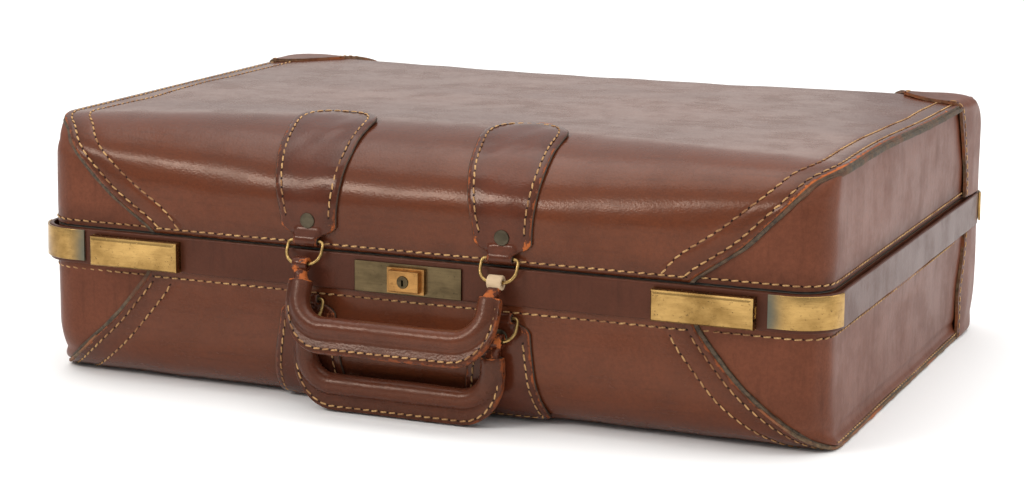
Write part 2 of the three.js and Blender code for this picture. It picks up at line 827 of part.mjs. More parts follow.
function addHinges() {
  const bodyY = -BAND_FACE + GAP;
  const lidY = CASE.halfY + GAP;
  const { leaf, y, z } = HINGE;
  const bodyPlate = [
    [bodyY, 92],
    [bodyY + leaf, 92],
    [bodyY + leaf, 108.5],
    [bodyY, 108.5],
  ];
  const bodyWeb = [
    [bodyY, 107],
    [bodyY + leaf, 107],
    [y + 1.6, z - 2.3],
    [y - 2.4, z],
    [bodyY, z - 0.7],
  ];
  const lidPlate = [
    [lidY, 117.5],
    [lidY + leaf, 117.5],
    [lidY + leaf, 136],
    [lidY, 136],
  ];
  const lidWeb = [
    [lidY, 114.2],
    [y - 2.9, z + 0.5],
    [y, z + 0.4],
    [y + 1.4, z + 2.6],
    [lidY + leaf, 119.5],
    [lidY, 119.5],
  ];
  for (const [word, side] of SIDES) {
    const centre = side * HINGE.x;
    addSolid(`body_hinge_leaf_${word}`, hingeLeaf(centre, bodyPlate, bodyWeb, 0), BRASS);
    addSolid(`lid_hinge_leaf_${word}`, hingeLeaf(centre, lidPlate, lidWeb, 1), BRASS);
    const ends = [centre - HINGE.halfX, centre + HINGE.halfX];
    addSolid(`hinge_pin_${word}`, cylinderX(HINGE.pinR, ...ends, y, z, 12), STEEL);
  }
}

// ---------------------------------------------------------------- assembly

const slots = frontSlots();
let bodyCuts = slots;
let lidCuts = rivetHole(LEFT, LID_TAB.rivetZ).add(rivetHole(RIGHT, LID_TAB.rivetZ));
for (const [, side] of SIDES) {
  bodyCuts = bodyCuts.add(rivetHole(side, BODY_TAB.rivetZ));
}

addShell("body", BODY, BODY_SEAM, bodyCuts);
addShell("lid", LID, LID_SEAM, lidCuts);
addFrames(slots);
addLinings();
addPatches();
addGuards();
addCatches(slots);
addLockPlate(slots);
addSlider();
addKeyBarrel();
addBolt();
addLockCase();
addHasp();
addTabs();
addRivets();
addHandle("upper", UPPER);
addHandle("lower", LOWER);
addHinges();

export default object;
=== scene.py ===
"""Looks for a framed leather suitcase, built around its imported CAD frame.

Builder functions work in millimetres in the row frame: X right, Y to the hinges, Z up.
"""

import math

import bpy
import numpy as np
from mathutils import Matrix, Vector


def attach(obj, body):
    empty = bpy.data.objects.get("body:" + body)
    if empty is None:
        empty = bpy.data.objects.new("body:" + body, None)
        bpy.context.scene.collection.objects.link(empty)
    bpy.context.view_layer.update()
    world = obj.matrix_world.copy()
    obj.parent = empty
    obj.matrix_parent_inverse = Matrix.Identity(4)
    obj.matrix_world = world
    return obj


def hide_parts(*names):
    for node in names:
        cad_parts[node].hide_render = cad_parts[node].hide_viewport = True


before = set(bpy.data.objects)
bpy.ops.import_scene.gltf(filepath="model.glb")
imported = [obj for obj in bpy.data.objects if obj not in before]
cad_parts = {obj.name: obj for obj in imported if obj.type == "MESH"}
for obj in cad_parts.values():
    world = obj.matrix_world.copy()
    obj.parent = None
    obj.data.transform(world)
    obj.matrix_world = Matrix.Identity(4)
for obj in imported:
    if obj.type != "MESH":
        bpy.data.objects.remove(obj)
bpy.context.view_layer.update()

MM = 0.001
SIDES = (("left", -1), ("right", 1))

# ---------------------------------------------------------------- driving dimensions, mm

HALF_X, HALF_Y, TOP = 300.0, 227.5, 191.0
CORNER = 27.0  # plan corner of the case
HIDE = 3.0  # thickness of the wrap panels
END_INSET = 2.8  # end panels lie this far under the wrap's face
END_HIDE = 2.3
LID_HEM, BODY_HEM = 113.3, 111.6
LID_TAB_END = 130.0  # about how far up the lid's profile its tabs reach
LID_ROLL = (85.0, 48.0)  # the lid's roll between the handle tabs
LID_END_ROLL = (45.0, 28.0)  # and at the ends
ROLL_HOLD = 110.0
FRONT_SWAY = -4.0  # the old handle fittings hang a little to the left
TAB_SWAY = -14.0  # and the lid tabs lean further over at their tops
BODY_ROLL = (40.0, 40.0)
LID_SEAM = ((113.3, 201), (138, 238), (164, 265), (183, 283), (191, 299))
BODY_SEAM = ((0, 299), (7, 285), (22, 266), (47, 237), (84, 206), (111.6, 204))
BAND = (86.0, 112.0, 0.3, 3.3)  # bottom, top, inner and outer offset from the wall
GUARD = (88.5, 111.5, 3.6, 5.2)
GUARD_FRONT_X, GUARD_REAR_X, GUARD_END_Y = 260.0, 262.0, 206.0
ROW_NEAR, ROW_FAR = 5.0, 18.0  # seam rows in from a wrap's raw edge
LID_ROW_Z, BODY_ROW_Z = 116.8, 81.0
PITCH = 7.0

TAB_X = 74.0
TAB_THICK = 3.0
TAB_LIFT = 0.3
BAR_Y = -232.7
LID_BAR_Z, BODY_BAR_Z = 119.0, 78.0
TONGUE_MID, TONGUE_THICK, TONGUE_HALF = 2.65, 1.9, 9.0
LID_RIVET_Z, BODY_RIVET_Z = 133.0, 64.0
RING_HALF, RING_DROP, RING_WIRE, RING_LEAN = 13.5, 17.0, 1.2, 27.0
ARM_X, BAR_DROP, GRIP_R, GRIP_BEND = 71.0, 43.5, 7.8, 22.0
FIN_BOTTOM, FIN_ARM = 18.5, 9.6  # how far the sewn fin stands out from the grip's centre
SLEEVE_TOP = -11.5
TIP_ROUND = 3.2  # how square the round end of a tab is
LOOP_OUT, LOOP_HOLE, LOOP_HALF = 5.2, 2.3, 5.5
UPPER_LEAN, LOWER_LEAN = 23.0, 0.0
PATCH_LIFT, PATCH_THICK = 0.4, 2.4
PATCH_EDGE_BOW = 5.0  # the slanting edge of a lid patch bows forward by this
LINING_CELL = 12.0  # size of the lining's mesh cells
END_SWELL = 1.3  # the end faces stand out by this at their middle
SOFTEN = 0.35  # bevel on the metal parts' edges

# metres and radians
CAMERA_AT = (0.7302, -1.816, 0.4733)
CAMERA_YAW, CAMERA_PITCH, CAMERA_ROLL = 0.3905, 0.2007, 0.0089
CAMERA_LENS = 90.33


# ---------------------------------------------------------------- small maths

def unit(v):
    return v / np.maximum(np.linalg.norm(v, axis=-1, keepdims=True), 1e-12)


def smooth(a, b, v):
    t = np.clip((v - a) / (b - a), 0, 1)
    return t * t * (3 - 2 * t)


def bump(v, centre, width):
    return np.exp(-(((v - centre) / width) ** 2))


def wobble(points, wavelength, seed, waves=14):
    """A smooth wandering value of about unit size at each point."""
    rng = np.random.default_rng(seed)
    total = np.zeros(points.shape[:-1])
    for _ in range(waves):
        direction = unit(rng.normal(size=3))
        turn = 2 * math.pi / (wavelength * rng.uniform(0.7, 1.7))
        total += np.sin(points @ direction * turn + rng.uniform(0, 2 * math.pi))
    return total / math.sqrt(waves / 2)


def lean_about(points, y, z, degrees):
    """Points given about (y, z) = (0, 0), leant forward and moved to (y, z)."""
    a = -math.radians(degrees)
    out = np.array(points, float)
    out[..., 1] = points[..., 1] * math.cos(a) - points[..., 2] * math.sin(a) + y
    out[..., 2] = points[..., 1] * math.sin(a) + points[..., 2] * math.cos(a) + z
    return out


def steps(*stops):
    """Values from stops given as (value, spacing up to the next value)."""
    out = []
    for (a, gap), (b, _) in zip(stops[:-1], stops[1:]):
        n = max(1, int(round((b - a) / gap)))
        out.extend(np.linspace(a, b, n + 1)[:-1])
    out.append(stops[-1][0])
    return np.array(out)


# ---------------------------------------------------------------- meshes

def loft_faces(n, k, closed, kinds, cap_kind):
    """Faces of n loops of k points, with a material index for each column of faces."""
    i = np.arange(n if closed else n - 1)[:, None]
    j = np.arange(k)[None, :]
    a = i * k + j
    b = i * k + (j + 1) % k
    c = ((i + 1) % n) * k + (j + 1) % k
    d = ((i + 1) % n) * k + j
    quads = np.stack([a, b, c, d], -1).reshape(-1, 4)
    kind = np.broadcast_to(np.asarray(kinds), (len(i), k)).reshape(-1)
    faces = quads.tolist()
    kind = kind.tolist()
    if not closed:
        faces.append(list(range(k))[::-1])
        faces.append(list(range((n - 1) * k, n * k)))
        kind += [cap_kind, cap_kind]
    return faces, kind


def volume(verts, faces):
    """Six times the signed volume inside closed faces."""
    fans = np.array([(f[0], p, q) for f in faces for p, q in zip(f[1:-1], f[2:])])
    a, b, c = verts[fans[:, 0]], verts[fans[:, 1]], verts[fans[:, 2]]
    return np.sum(a * np.cross(b, c))


def lid_warp(verts):
    """The old lid has lifted at the right end of its front."""
    x, y, z = verts.T
    return 4.5 * smooth(100, 299, x) * bump(y, -110, 120) * smooth(135, TOP, z)


def piece(name, verts, faces, body, materials, kinds=None, replaced=(), values=None, angle=42):
    """A mesh piece from millimetre points. values are point attributes read by the materials."""
    verts = np.array(verts, float).reshape(-1, 3)
    if body == "lid":
        verts[:, 2] += lid_warp(verts)
    elif body == "body":
        verts[:, 2] = np.maximum(verts[:, 2], 0.0)
    if volume(verts, faces) < 0:
        faces = [f[::-1] for f in faces]
    mesh = bpy.data.meshes.new(name)
    mesh.from_pydata((verts * MM).tolist(), [], faces)
    if kinds is not None:
        mesh.polygons.foreach_set("material_index", kinds)
    for key, value in (values or {}).items():
        layer = mesh.attributes.new(key, "FLOAT", "POINT")
        layer.data.foreach_set("value", np.asarray(value, np.float32).reshape(-1))
    mesh.shade_smooth()
    mesh.set_sharp_from_angle(angle=math.radians(angle))
    for material in materials:
        mesh.materials.append(material)
    obj = bpy.data.objects.new(name, mesh)
    bpy.context.scene.collection.objects.link(obj)
    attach(obj, body)
    if replaced:
        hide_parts(*replaced)
    return obj


def side_word(side):
    return "left" if side < 0 else "right"


def join_lofts(parts):
    """One point list, face list and kind list from (verts, faces, kinds) parts."""
    verts, faces, kinds, start = [], [], [], 0
    for v, f, k in parts:
        v = np.asarray(v, float).reshape(-1, 3)
        if volume(v, f) < 0:
            f = [x[::-1] for x in f]
        verts.append(v)
        faces.extend([[i + start for i in x] for x in f])
        kinds.extend(k)
        start += len(v)
    return np.concatenate(verts), faces, kinds


def loft(loops, closed=False, kinds=0, cap_kind=0):
    n, k = loops.shape[:2]
    faces, kind = loft_faces(n, k, closed, kinds, cap_kind)
    return loops.reshape(-1, 3), faces, kind


def round_section(half_w, half_h, radius, per_corner=3):
    """A rounded rectangle, counter-clockwise, as (w, h) points."""
    out = []
    for sw, sh, start in ((1, 1, 0), (-1, 1, 90), (-1, -1, 180), (1, -1, 270)):
        for t in np.linspace(start, start + 90, per_corner + 1):
            a = math.radians(t)
            out.append((sw * (half_w - radius) + radius * math.cos(a),
                        sh * (half_h - radius) + radius * math.sin(a)))
    return np.array(out)


def sweep(path, across, up, section):
    """Loops of section (w, h) placed along a path with its across and up vectors."""
    return path[:, None] + section[None, :, :1] * across[:, None] + section[None, :, 1:] * up[:, None]


def sheet(outer, inner):
    """A closed sheet between two grids, with its cut edges as the second material."""
    m = outer.shape[1]
    kinds = [0] * (m - 1) + [1] + [0] * (m - 1) + [1]
    return loft(np.concatenate([outer, inner[:, ::-1]], 1), kinds=kinds, cap_kind=1)


def strap(mid, normal, thick, kinds=(0, 1)):
    """A closed skin with rounded edges from a grid of mid-surface points."""
    half = np.broadcast_to(np.asarray(thick, float) / 2, mid.shape[:1])[:, None, None]
    across = unit(mid[:, -1] - mid[:, 0])[:, None]
    soften = np.ones(mid.shape[1])
    soften[[0, -1]] = 0.45
    soften[[1, -2]] = 0.85
    outer = mid + normal * half * soften[None, :, None]
    inner = mid - normal * half
    right = [mid[:, -1:] + across * half * 0.45 + normal[:, -1:] * half * 0.1,
             mid[:, -1:] + across * half * 0.4 - normal[:, -1:] * half * 0.6]
    left = [mid[:, :1] - across * half * 0.4 - normal[:, :1] * half * 0.6,
            mid[:, :1] - across * half * 0.45 + normal[:, :1] * half * 0.1]
    loops = np.concatenate([outer, *right, inner[:, ::-1], *left], axis=1)
    m = mid.shape[1]
    columns = [kinds[0]] * (m - 1) + [kinds[1]] * 3 + [kinds[0]] * (m - 1) + [kinds[1]] * 3
    return loft(loops, kinds=columns, cap_kind=kinds[1])


# ---------------------------------------------------------------- the two shells

def rolled(flat, up, roll, z):
    """How far a level of the front stands back from the wall, and its outward direction."""
    ry, rz = roll
    climb = np.clip((up * (z - flat) + rz) / rz, 0, 1)
    flat_share = np.sqrt(1 - climb ** 2)
    long = np.hypot(flat_share / ry, climb / rz)
    return ry * (1 - flat_share), flat_share / ry / long, up * climb / rz / long


def profile(hem, flat, roll, levels_of):
    """A shell's profile as y, z and outward direction, from the front hem to the back hem."""
    up = 1 if flat > hem else -1
    climb = np.sin(np.linspace(0, math.pi / 2, 121))
    z = np.concatenate([[hem], flat - up * levels_of[1] * (1 - climb)])
    back, ny, nz = rolled(flat, up, roll, z)
    half = np.stack([-HALF_Y + back, z, -ny, nz])
    return np.concatenate([half, half[:, ::-1] * np.array([[-1], [1], [-1], [1]])], 1)


class Shell:
    """A leather shell. s runs along its profile from the front hem over the flat to the back hem."""

    def __init__(self, hem, flat, roll, end_roll, seam, crown, front_bow):
        self.mid, self.end = profile(hem, flat, roll, roll), profile(hem, flat, end_roll, roll)
        self.rolls, self.up = (np.array(roll), np.array(end_roll)), 1 if flat > hem else -1
        self.s = np.concatenate([[0], np.cumsum(np.hypot(*np.diff(self.mid[:2], axis=1)))])
        self.length = self.s[-1]
        self.front = self.s[1]  # where the roll starts
        self.roll_end = self.s[len(self.s) // 2 - 1]
        self.hem, self.flat, self.crown = hem, flat, crown
        self.front_bow = front_bow
        self.fine = np.arange(0, self.length + 0.5, 1.0)
        heights, across = [p[0] for p in seam], [p[1] for p in seam]
        x = np.interp(self.bare(0 * self.fine, self.fine)[1], heights, across)
        for _ in range(30):
            x = (x + np.interp(self.bare(x, self.fine)[1], heights, across)) / 2
        window = np.hanning(27)
        self.seam = np.convolve(np.pad(x, 13, mode="edge"), window / window.sum(), "valid")
        self.slope = np.gradient(self.seam, self.fine)

    def bare(self, x, s):
        """y, z and outward direction of the plain rolled surface."""
        x, s = np.broadcast_arrays(np.asarray(x, float), np.asarray(s, float))
        share = np.clip((np.abs(x) - ROLL_HOLD) / (HALF_X - ROLL_HOLD), 0, 1)
        mid = np.stack([np.interp(s, self.s, row) for row in self.mid])
        end = np.stack([np.interp(s, self.s, row) for row in self.end])
        return mid * (1 - share) + end * share

    def at_z(self, z):
        half = len(self.s) // 2
        order = np.argsort(self.mid[1, :half])
        return np.interp(z, self.mid[1, :half][order], self.s[:half][order])

    def reach(self, s):
        return np.interp(s, self.fine, self.seam)

    def stretch(self, s):
        """How much longer a level line is than the way straight across the seam."""
        return np.minimum(np.sqrt(1 + np.interp(s, self.fine, self.slope) ** 2), 2.4)

    def bulge(self, x, s):
        t = np.clip(s / self.length, 0, 1)
        span = np.clip(1 - (x / (HALF_X + 2)) ** 2, 0, 1)
        rise = self.crown * np.sin(math.pi * t) ** 1.3
        reach = 2 * self.front + 1.5 * (self.roll_end - self.front) if self.crown else self.roll_end
        bow = self.front_bow * np.sin(math.pi * np.clip(s / reach, 0, 1)) ** 2
        near_hem = np.minimum(s, self.length - s)
        return (rise + bow) * span * smooth(12, 60, near_hem)

    def point(self, x, s, lift=0.0):
        x, s = np.broadcast_arrays(np.asarray(x, float), np.asarray(s, float))
        y, z, ny, nz = self.bare(x, s)
        out = lift + self.bulge(x, s)
        return np.stack([x, y + ny * out, z + nz * out], -1)

    def normal(self, s, x=0.0):
        _, _, ny, nz = self.bare(x, s)
        n = unit(np.stack([ny, nz], -1))
        return np.concatenate([np.zeros(n.shape[:-1] + (1,)), n], -1)

    def skin(self, x, s):
        """How far the worn hide stands off its plain surface."""
        x, s = np.broadcast_arrays(np.asarray(x, float), np.asarray(s, float))
        p = self.point(x, s)
        wave = 0.35 * wobble(p, 130, 3) + 0.14 * wobble(p, 46, 4)
        hem = np.minimum(s, self.length - s)
        edge = (self.reach(s) - np.abs(x)) / self.stretch(s)
        return wave * smooth(4, 40, hem) * smooth(0, 20, edge)

    def seam_row(self, inset, side, start, stop):
        """Points and normals of a row sewn a fixed way in from the raw edge."""
        s = np.arange(-2 * inset, self.length + 2 * inset, 2.0)
        slope = np.interp(s, self.fine, self.slope)
        long = np.sqrt(1 + slope ** 2)
        beyond = (s - np.clip(s, 0, self.length)) * slope
        along = s + inset * slope / long
        keep = (along >= start) & (along <= stop)
        x, along = (side * (self.reach(s) + beyond - inset / long))[keep], along[keep]
        return self.point(x, along, self.skin(x, along)), self.normal(along, x)


LID = Shell(LID_HEM, TOP, LID_ROLL, LID_END_ROLL, LID_SEAM, crown=3.5, front_bow=3.0)
BODY = Shell(BODY_HEM, 0.0, BODY_ROLL, BODY_ROLL, BODY_SEAM, crown=0.0, front_bow=2.5)


# ---------------------------------------------------------------- materials

def rgb(r, g, b):
    """sRGB bytes as linear light."""
    return tuple(((c / 255 + 0.055) / 1.055) ** 2.4 if c > 10 else c / 3294.6 for c in (r, g, b)) + (1.0,)


class Nodes:
    """A short way to write a material's nodes."""

    def __init__(self, name):
        self.material = bpy.data.materials.new(name)
        self.material.use_nodes = True
        self.tree = self.material.node_tree
        self.shader = self.tree.nodes["Principled BSDF"]

    def new(self, kind, **settings):
        node = self.tree.nodes.new(kind)
        for key, value in settings.items():
            setattr(node, key, value)
        return node

    def link(self, a, b):
        self.tree.links.new(a, b)

    def put(self, socket, value):
        if isinstance(value, bpy.types.NodeSocket):
            self.link(value, socket)
        else:
            socket.default_value = value

    def place(self, stretch=(1, 1, 1)):
        where = self.new("ShaderNodeTexCoord")
        mapping = self.new("ShaderNodeMapping")
        mapping.inputs["Scale"].default_value = stretch
        self.link(where.outputs["Object"], mapping.inputs["Vector"])
        return mapping.outputs["Vector"]

    def noise(self, scale, detail=4, rough=0.5, stretch=(1, 1, 1), distort=0.0):
        node = self.new("ShaderNodeTexNoise")
        self.link(self.place(stretch), node.inputs["Vector"])
        node.inputs["Scale"].default_value = scale
        node.inputs["Detail"].default_value = detail
        node.inputs["Roughness"].default_value = rough
        node.inputs["Distortion"].default_value = distort
        return node.outputs["Fac"]

    def cells(self, scale, feature="F1", stretch=(1, 1, 1)):
        node = self.new("ShaderNodeTexVoronoi", feature=feature)
        self.link(self.place(stretch), node.inputs["Vector"])
        node.inputs["Scale"].default_value = scale
        return node.outputs["Distance"]

    def ramp(self, value, low, high, start=0.0, end=1.0):
        node = self.new("ShaderNodeMapRange", interpolation_type="SMOOTHSTEP")
        self.put(node.inputs["Value"], value)
        for key, v in (("From Min", low), ("From Max", high), ("To Min", start), ("To Max", end)):
            node.inputs[key].default_value = v
        return node.outputs["Result"]

    def maths(self, operation, a, b=0.0):
        node = self.new("ShaderNodeMath", operation=operation)
        self.put(node.inputs[0], a)
        self.put(node.inputs[1], b)
        return node.outputs[0]

    def mix(self, factor, a, b, blend="MIX"):
        node = self.new("ShaderNodeMix", data_type="RGBA", blend_type=blend)
        self.put(node.inputs[0], factor)
        self.put(node.inputs[6], a)
        self.put(node.inputs[7], b)
        return node.outputs[2]

    def attribute(self, name):
        return self.new("ShaderNodeAttribute", attribute_name=name).outputs["Fac"]

    def bump(self, height, strength, distance, under=None):
        node = self.new("ShaderNodeBump")
        node.inputs["Strength"].default_value = strength
        node.inputs["Distance"].default_value = distance
        self.link(height, node.inputs["Height"])
        if under is not None:
            self.link(under, node.inputs["Normal"])
        return node.outputs["Normal"]

    def finish(self, colour, roughness, normal=None, **constants):
        self.put(self.shader.inputs["Base Color"], colour)
        self.put(self.shader.inputs["Roughness"], roughness)
        if normal is not None:
            self.link(normal, self.shader.inputs["Normal"])
        for key, value in constants.items():
            self.shader.inputs[key.replace("_", " ")].default_value = value
        return self.material


def leather(name, mid, dark, warm, streaks=(1, 1, 1), rough=(0.2, 0.3), edges=True, grain=0.22,
            scuffs=0.6, orange=0.55, shine=0.3):
    """Polished hide: softly mottled browns, fine grain, handling streaks, scuffs and worn edges."""
    n = Nodes(name)
    cloud = n.ramp(n.noise(3.2, 3, 0.5), 0.3, 0.7)
    mottle = n.ramp(n.noise(26, 5, 0.65), 0.3, 0.75)
    streak = n.noise(22, 5, 0.65, stretch=streaks)
    colour = n.mix(cloud, mid, warm)
    colour = n.mix(n.maths("MULTIPLY", mottle, 0.3), colour, dark)
    colour = n.mix(n.ramp(streak, 0.5, 0.8, 0, 0.35), colour, dark)
    fine = n.noise(420, 3, 0.7)
    colour = n.mix(n.ramp(fine, 0.3, 0.75, 0.0, 0.25), colour, dark)
    wear_colour = rgb(160, 82, 40)
    scuff = n.ramp(n.noise(60, 9, 0.75, distort=1.0), 0.68, 0.74, 0, scuffs)
    colour = n.mix(scuff, colour, wear_colour)
    rub = scuff
    if edges:
        edge = n.attribute("edge")
        broken = n.noise(150, 6, 0.7)
        near = n.ramp(n.maths("ADD", edge, n.ramp(broken, 0.3, 0.7, -1.2, 2.0)), 0.2, 1.6, 1, 0)
        near = n.maths("MULTIPLY", near, n.ramp(n.noise(11, 4, 0.6), 0.44, 0.6, 0.15, 1.0))
        grime = n.maths("MULTIPLY", n.ramp(edge, 2.0, 20, 1, 0),
                        n.ramp(n.noise(70, 5, 0.7), 0.3, 0.65, 0.3, 0.9))
        colour = n.mix(n.maths("MULTIPLY", grime, 0.55), colour, dark)
        colour = n.mix(n.maths("MULTIPLY", near, orange), colour, wear_colour)
        ragged = n.maths("ADD", n.attribute("wear"), n.ramp(broken, 0.3, 0.7, -0.35, 0.35))
        torn = n.ramp(ragged, 0.45, 0.62, 0, 0.95)
        colour = n.mix(torn, colour, n.mix(broken, rgb(120, 52, 26), rgb(196, 108, 50)))
        rub = n.maths("MAXIMUM", n.maths("MAXIMUM", scuff, near), torn)
    rough_map = n.ramp(n.maths("ADD", n.maths("MULTIPLY", streak, 0.5), n.maths("MULTIPLY", mottle, 0.5)),
                       0.25, 0.75, *rough)
    rough_map = n.mix(rub, rough_map, (0.75, 0.75, 0.75, 1))
    pores = n.cells(620)
    relief = n.maths("ADD", n.maths("MULTIPLY", pores, 0.6), n.maths("MULTIPLY", fine, 0.8))
    normal = n.bump(relief, grain, 0.0004)
    normal = n.bump(n.noise(55, 4, 0.55), 0.2, 0.001, normal)
    normal = n.bump(streak, 0.05, 0.0005, normal)
    if edges:
        normal = n.bump(n.maths("MULTIPLY", rub, -1.0), 0.5, 0.0004, normal)
    return n.finish(colour, rough_map, normal, Specular_IOR_Level=shine,
                    Specular_Tint=(1.0, 0.82, 0.7, 1))


def raw_edge(name, light, dark, warm, warm_share=0.35):
    """The cut edge of layered hide: fibrous layers along the edge, greyed with handling."""
    n = Nodes(name)
    layer = n.noise(260, 6, 0.75)
    broad = n.noise(26, 4, 0.65)
    colour = n.mix(n.ramp(layer, 0.3, 0.7), dark, light)
    colour = n.mix(n.ramp(broad, 0.62 - warm_share * 0.4, 0.7, 0, 0.85), colour, warm)
    normal = n.bump(layer, 0.8, 0.0008)
    return n.finish(colour, n.ramp(layer, 0.2, 0.8, 0.55, 0.85), normal, Specular_IOR_Level=0.3)


def thread_material():
    n = Nodes("waxed_thread")
    ply = n.new("ShaderNodeTexWave", wave_type="BANDS", bands_direction="DIAGONAL")
    n.link(n.place(), ply.inputs["Vector"])
    ply.inputs["Scale"].default_value = 260
    ply.inputs["Distortion"].default_value = 3
    dirt = n.noise(38, 4, 0.6)
    colour = n.mix(n.ramp(dirt, 0.4, 0.66), rgb(192, 150, 98), rgb(136, 94, 60))
    colour = n.mix(n.maths("MULTIPLY", ply.outputs["Fac"], 0.25), colour, rgb(92, 56, 36))
    return n.finish(colour, n.ramp(dirt, 0.3, 0.7, 0.55, 0.75), n.bump(ply.outputs["Fac"], 0.6, 0.0003),
                    Specular_IOR_Level=0.3)


def hole_shade_material():
    n = Nodes("stitch_hole_shade")
    # The stitch holes are small near-black discs on the surface: painted shade standing in for the inside of
    # each hole.
    depth = n.noise(300, 3)
    return n.finish(n.mix(depth, rgb(22, 10, 7), rgb(44, 24, 17)), n.ramp(depth, 0.3, 0.7, 0.7, 0.9),
                    n.bump(depth, 0.3, 0.0003), Specular_IOR_Level=0.15)


def metal(name, bright, dull, dirt, pits=0.5, rough=(0.2, 0.4), scale=30, cast=0.35, metallic=1.0):
    """Worn metal: fine brushed lines, dull patches, dark pits and a tarnish film."""
    n = Nodes(name)
    patch = n.noise(scale, 5, 0.6, stretch=(1, 1, 1.6))
    grain = n.noise(80, 4, 0.7, stretch=(1, 1, 16))
    pit = n.ramp(n.noise(520, 3, 0.6), 0.62, 0.72, 0, pits)
    blot = n.ramp(n.noise(scale * 3, 6, 0.75, distort=0.8), 0.58, 0.7, 0, cast)
    tarnish = n.attribute("tarnish")
    colour = n.mix(n.ramp(patch, 0.35, 0.75), bright, dull)
    colour = n.mix(n.ramp(grain, 0.4, 0.8, 0, 0.35), colour, dull)
    colour = n.mix(n.maths("MAXIMUM", blot, pit), colour, dirt)
    film = n.maths("MULTIPLY", tarnish, n.ramp(patch, 0.25, 0.6, 0.6, 1.0))
    colour = n.mix(film, colour, n.mix(grain, rgb(72, 78, 72), rgb(106, 100, 82)))
    roughness = n.ramp(n.maths("ADD", n.maths("MULTIPLY", patch, 0.5), n.maths("MULTIPLY", grain, 0.5)),
                       0.25, 0.75, *rough)
    worn = n.maths("MAXIMUM", pit, n.maths("MAXIMUM", film, blot))
    roughness = n.mix(n.maths("MULTIPLY", worn, 0.6), roughness, (0.8, 0.8, 0.8, 1))
    metalness = n.ramp(worn, 0.2, 1.2, metallic, metallic * 0.45)
    normal = n.bump(n.maths("SUBTRACT", patch, pit), 0.15, 0.0004)
    normal = n.bump(grain, 0.08, 0.0002, normal)
    n.link(metalness, n.shader.inputs["Metallic"])
    return n.finish(colour, roughness, normal)


def lining_material():
    n = Nodes("cotton_lining")
    weave = n.new("ShaderNodeTexWave", wave_type="BANDS", bands_direction="X")
    n.link(n.place(), weave.inputs["Vector"])
    weave.inputs["Scale"].default_value = 420
    weft = n.new("ShaderNodeTexWave", wave_type="BANDS", bands_direction="Y")
    n.link(n.place(), weft.inputs["Vector"])
    weft.inputs["Scale"].default_value = 420
    cloth = n.maths("MULTIPLY", weave.outputs["Fac"], weft.outputs["Fac"])
    stain = n.noise(7, 5, 0.6)
    colour = n.mix(n.ramp(stain, 0.35, 0.7), rgb(176, 152, 118), rgb(150, 122, 88))
    colour = n.mix(n.maths("MULTIPLY", cloth, 0.3), colour, rgb(118, 96, 70))
    return n.finish(colour, n.ramp(stain, 0.3, 0.7, 0.8, 0.95), n.bump(cloth, 0.5, 0.0004), Sheen_Weight=0.3,
                    Specular_IOR_Level=0.2)


def core_material():
    n = Nodes("handle_core")
    fibre = n.noise(140, 5, 0.7, stretch=(1, 1, 4))
    return n.finish(n.mix(fibre, rgb(168, 138, 104), rgb(206, 182, 148)), n.ramp(fibre, 0.3, 0.7, 0.6, 0.8),
                    n.bump(fibre, 0.4, 0.0005))


def floor_material():
    n = Nodes("studio_floor")
    tone = n.noise(0.8, 2)
    return n.finish(n.mix(tone, rgb(250, 250, 249), rgb(253, 253, 252)), n.ramp(tone, 0.3, 0.7, 0.75, 0.8),
                    Specular_IOR_Level=0.1)


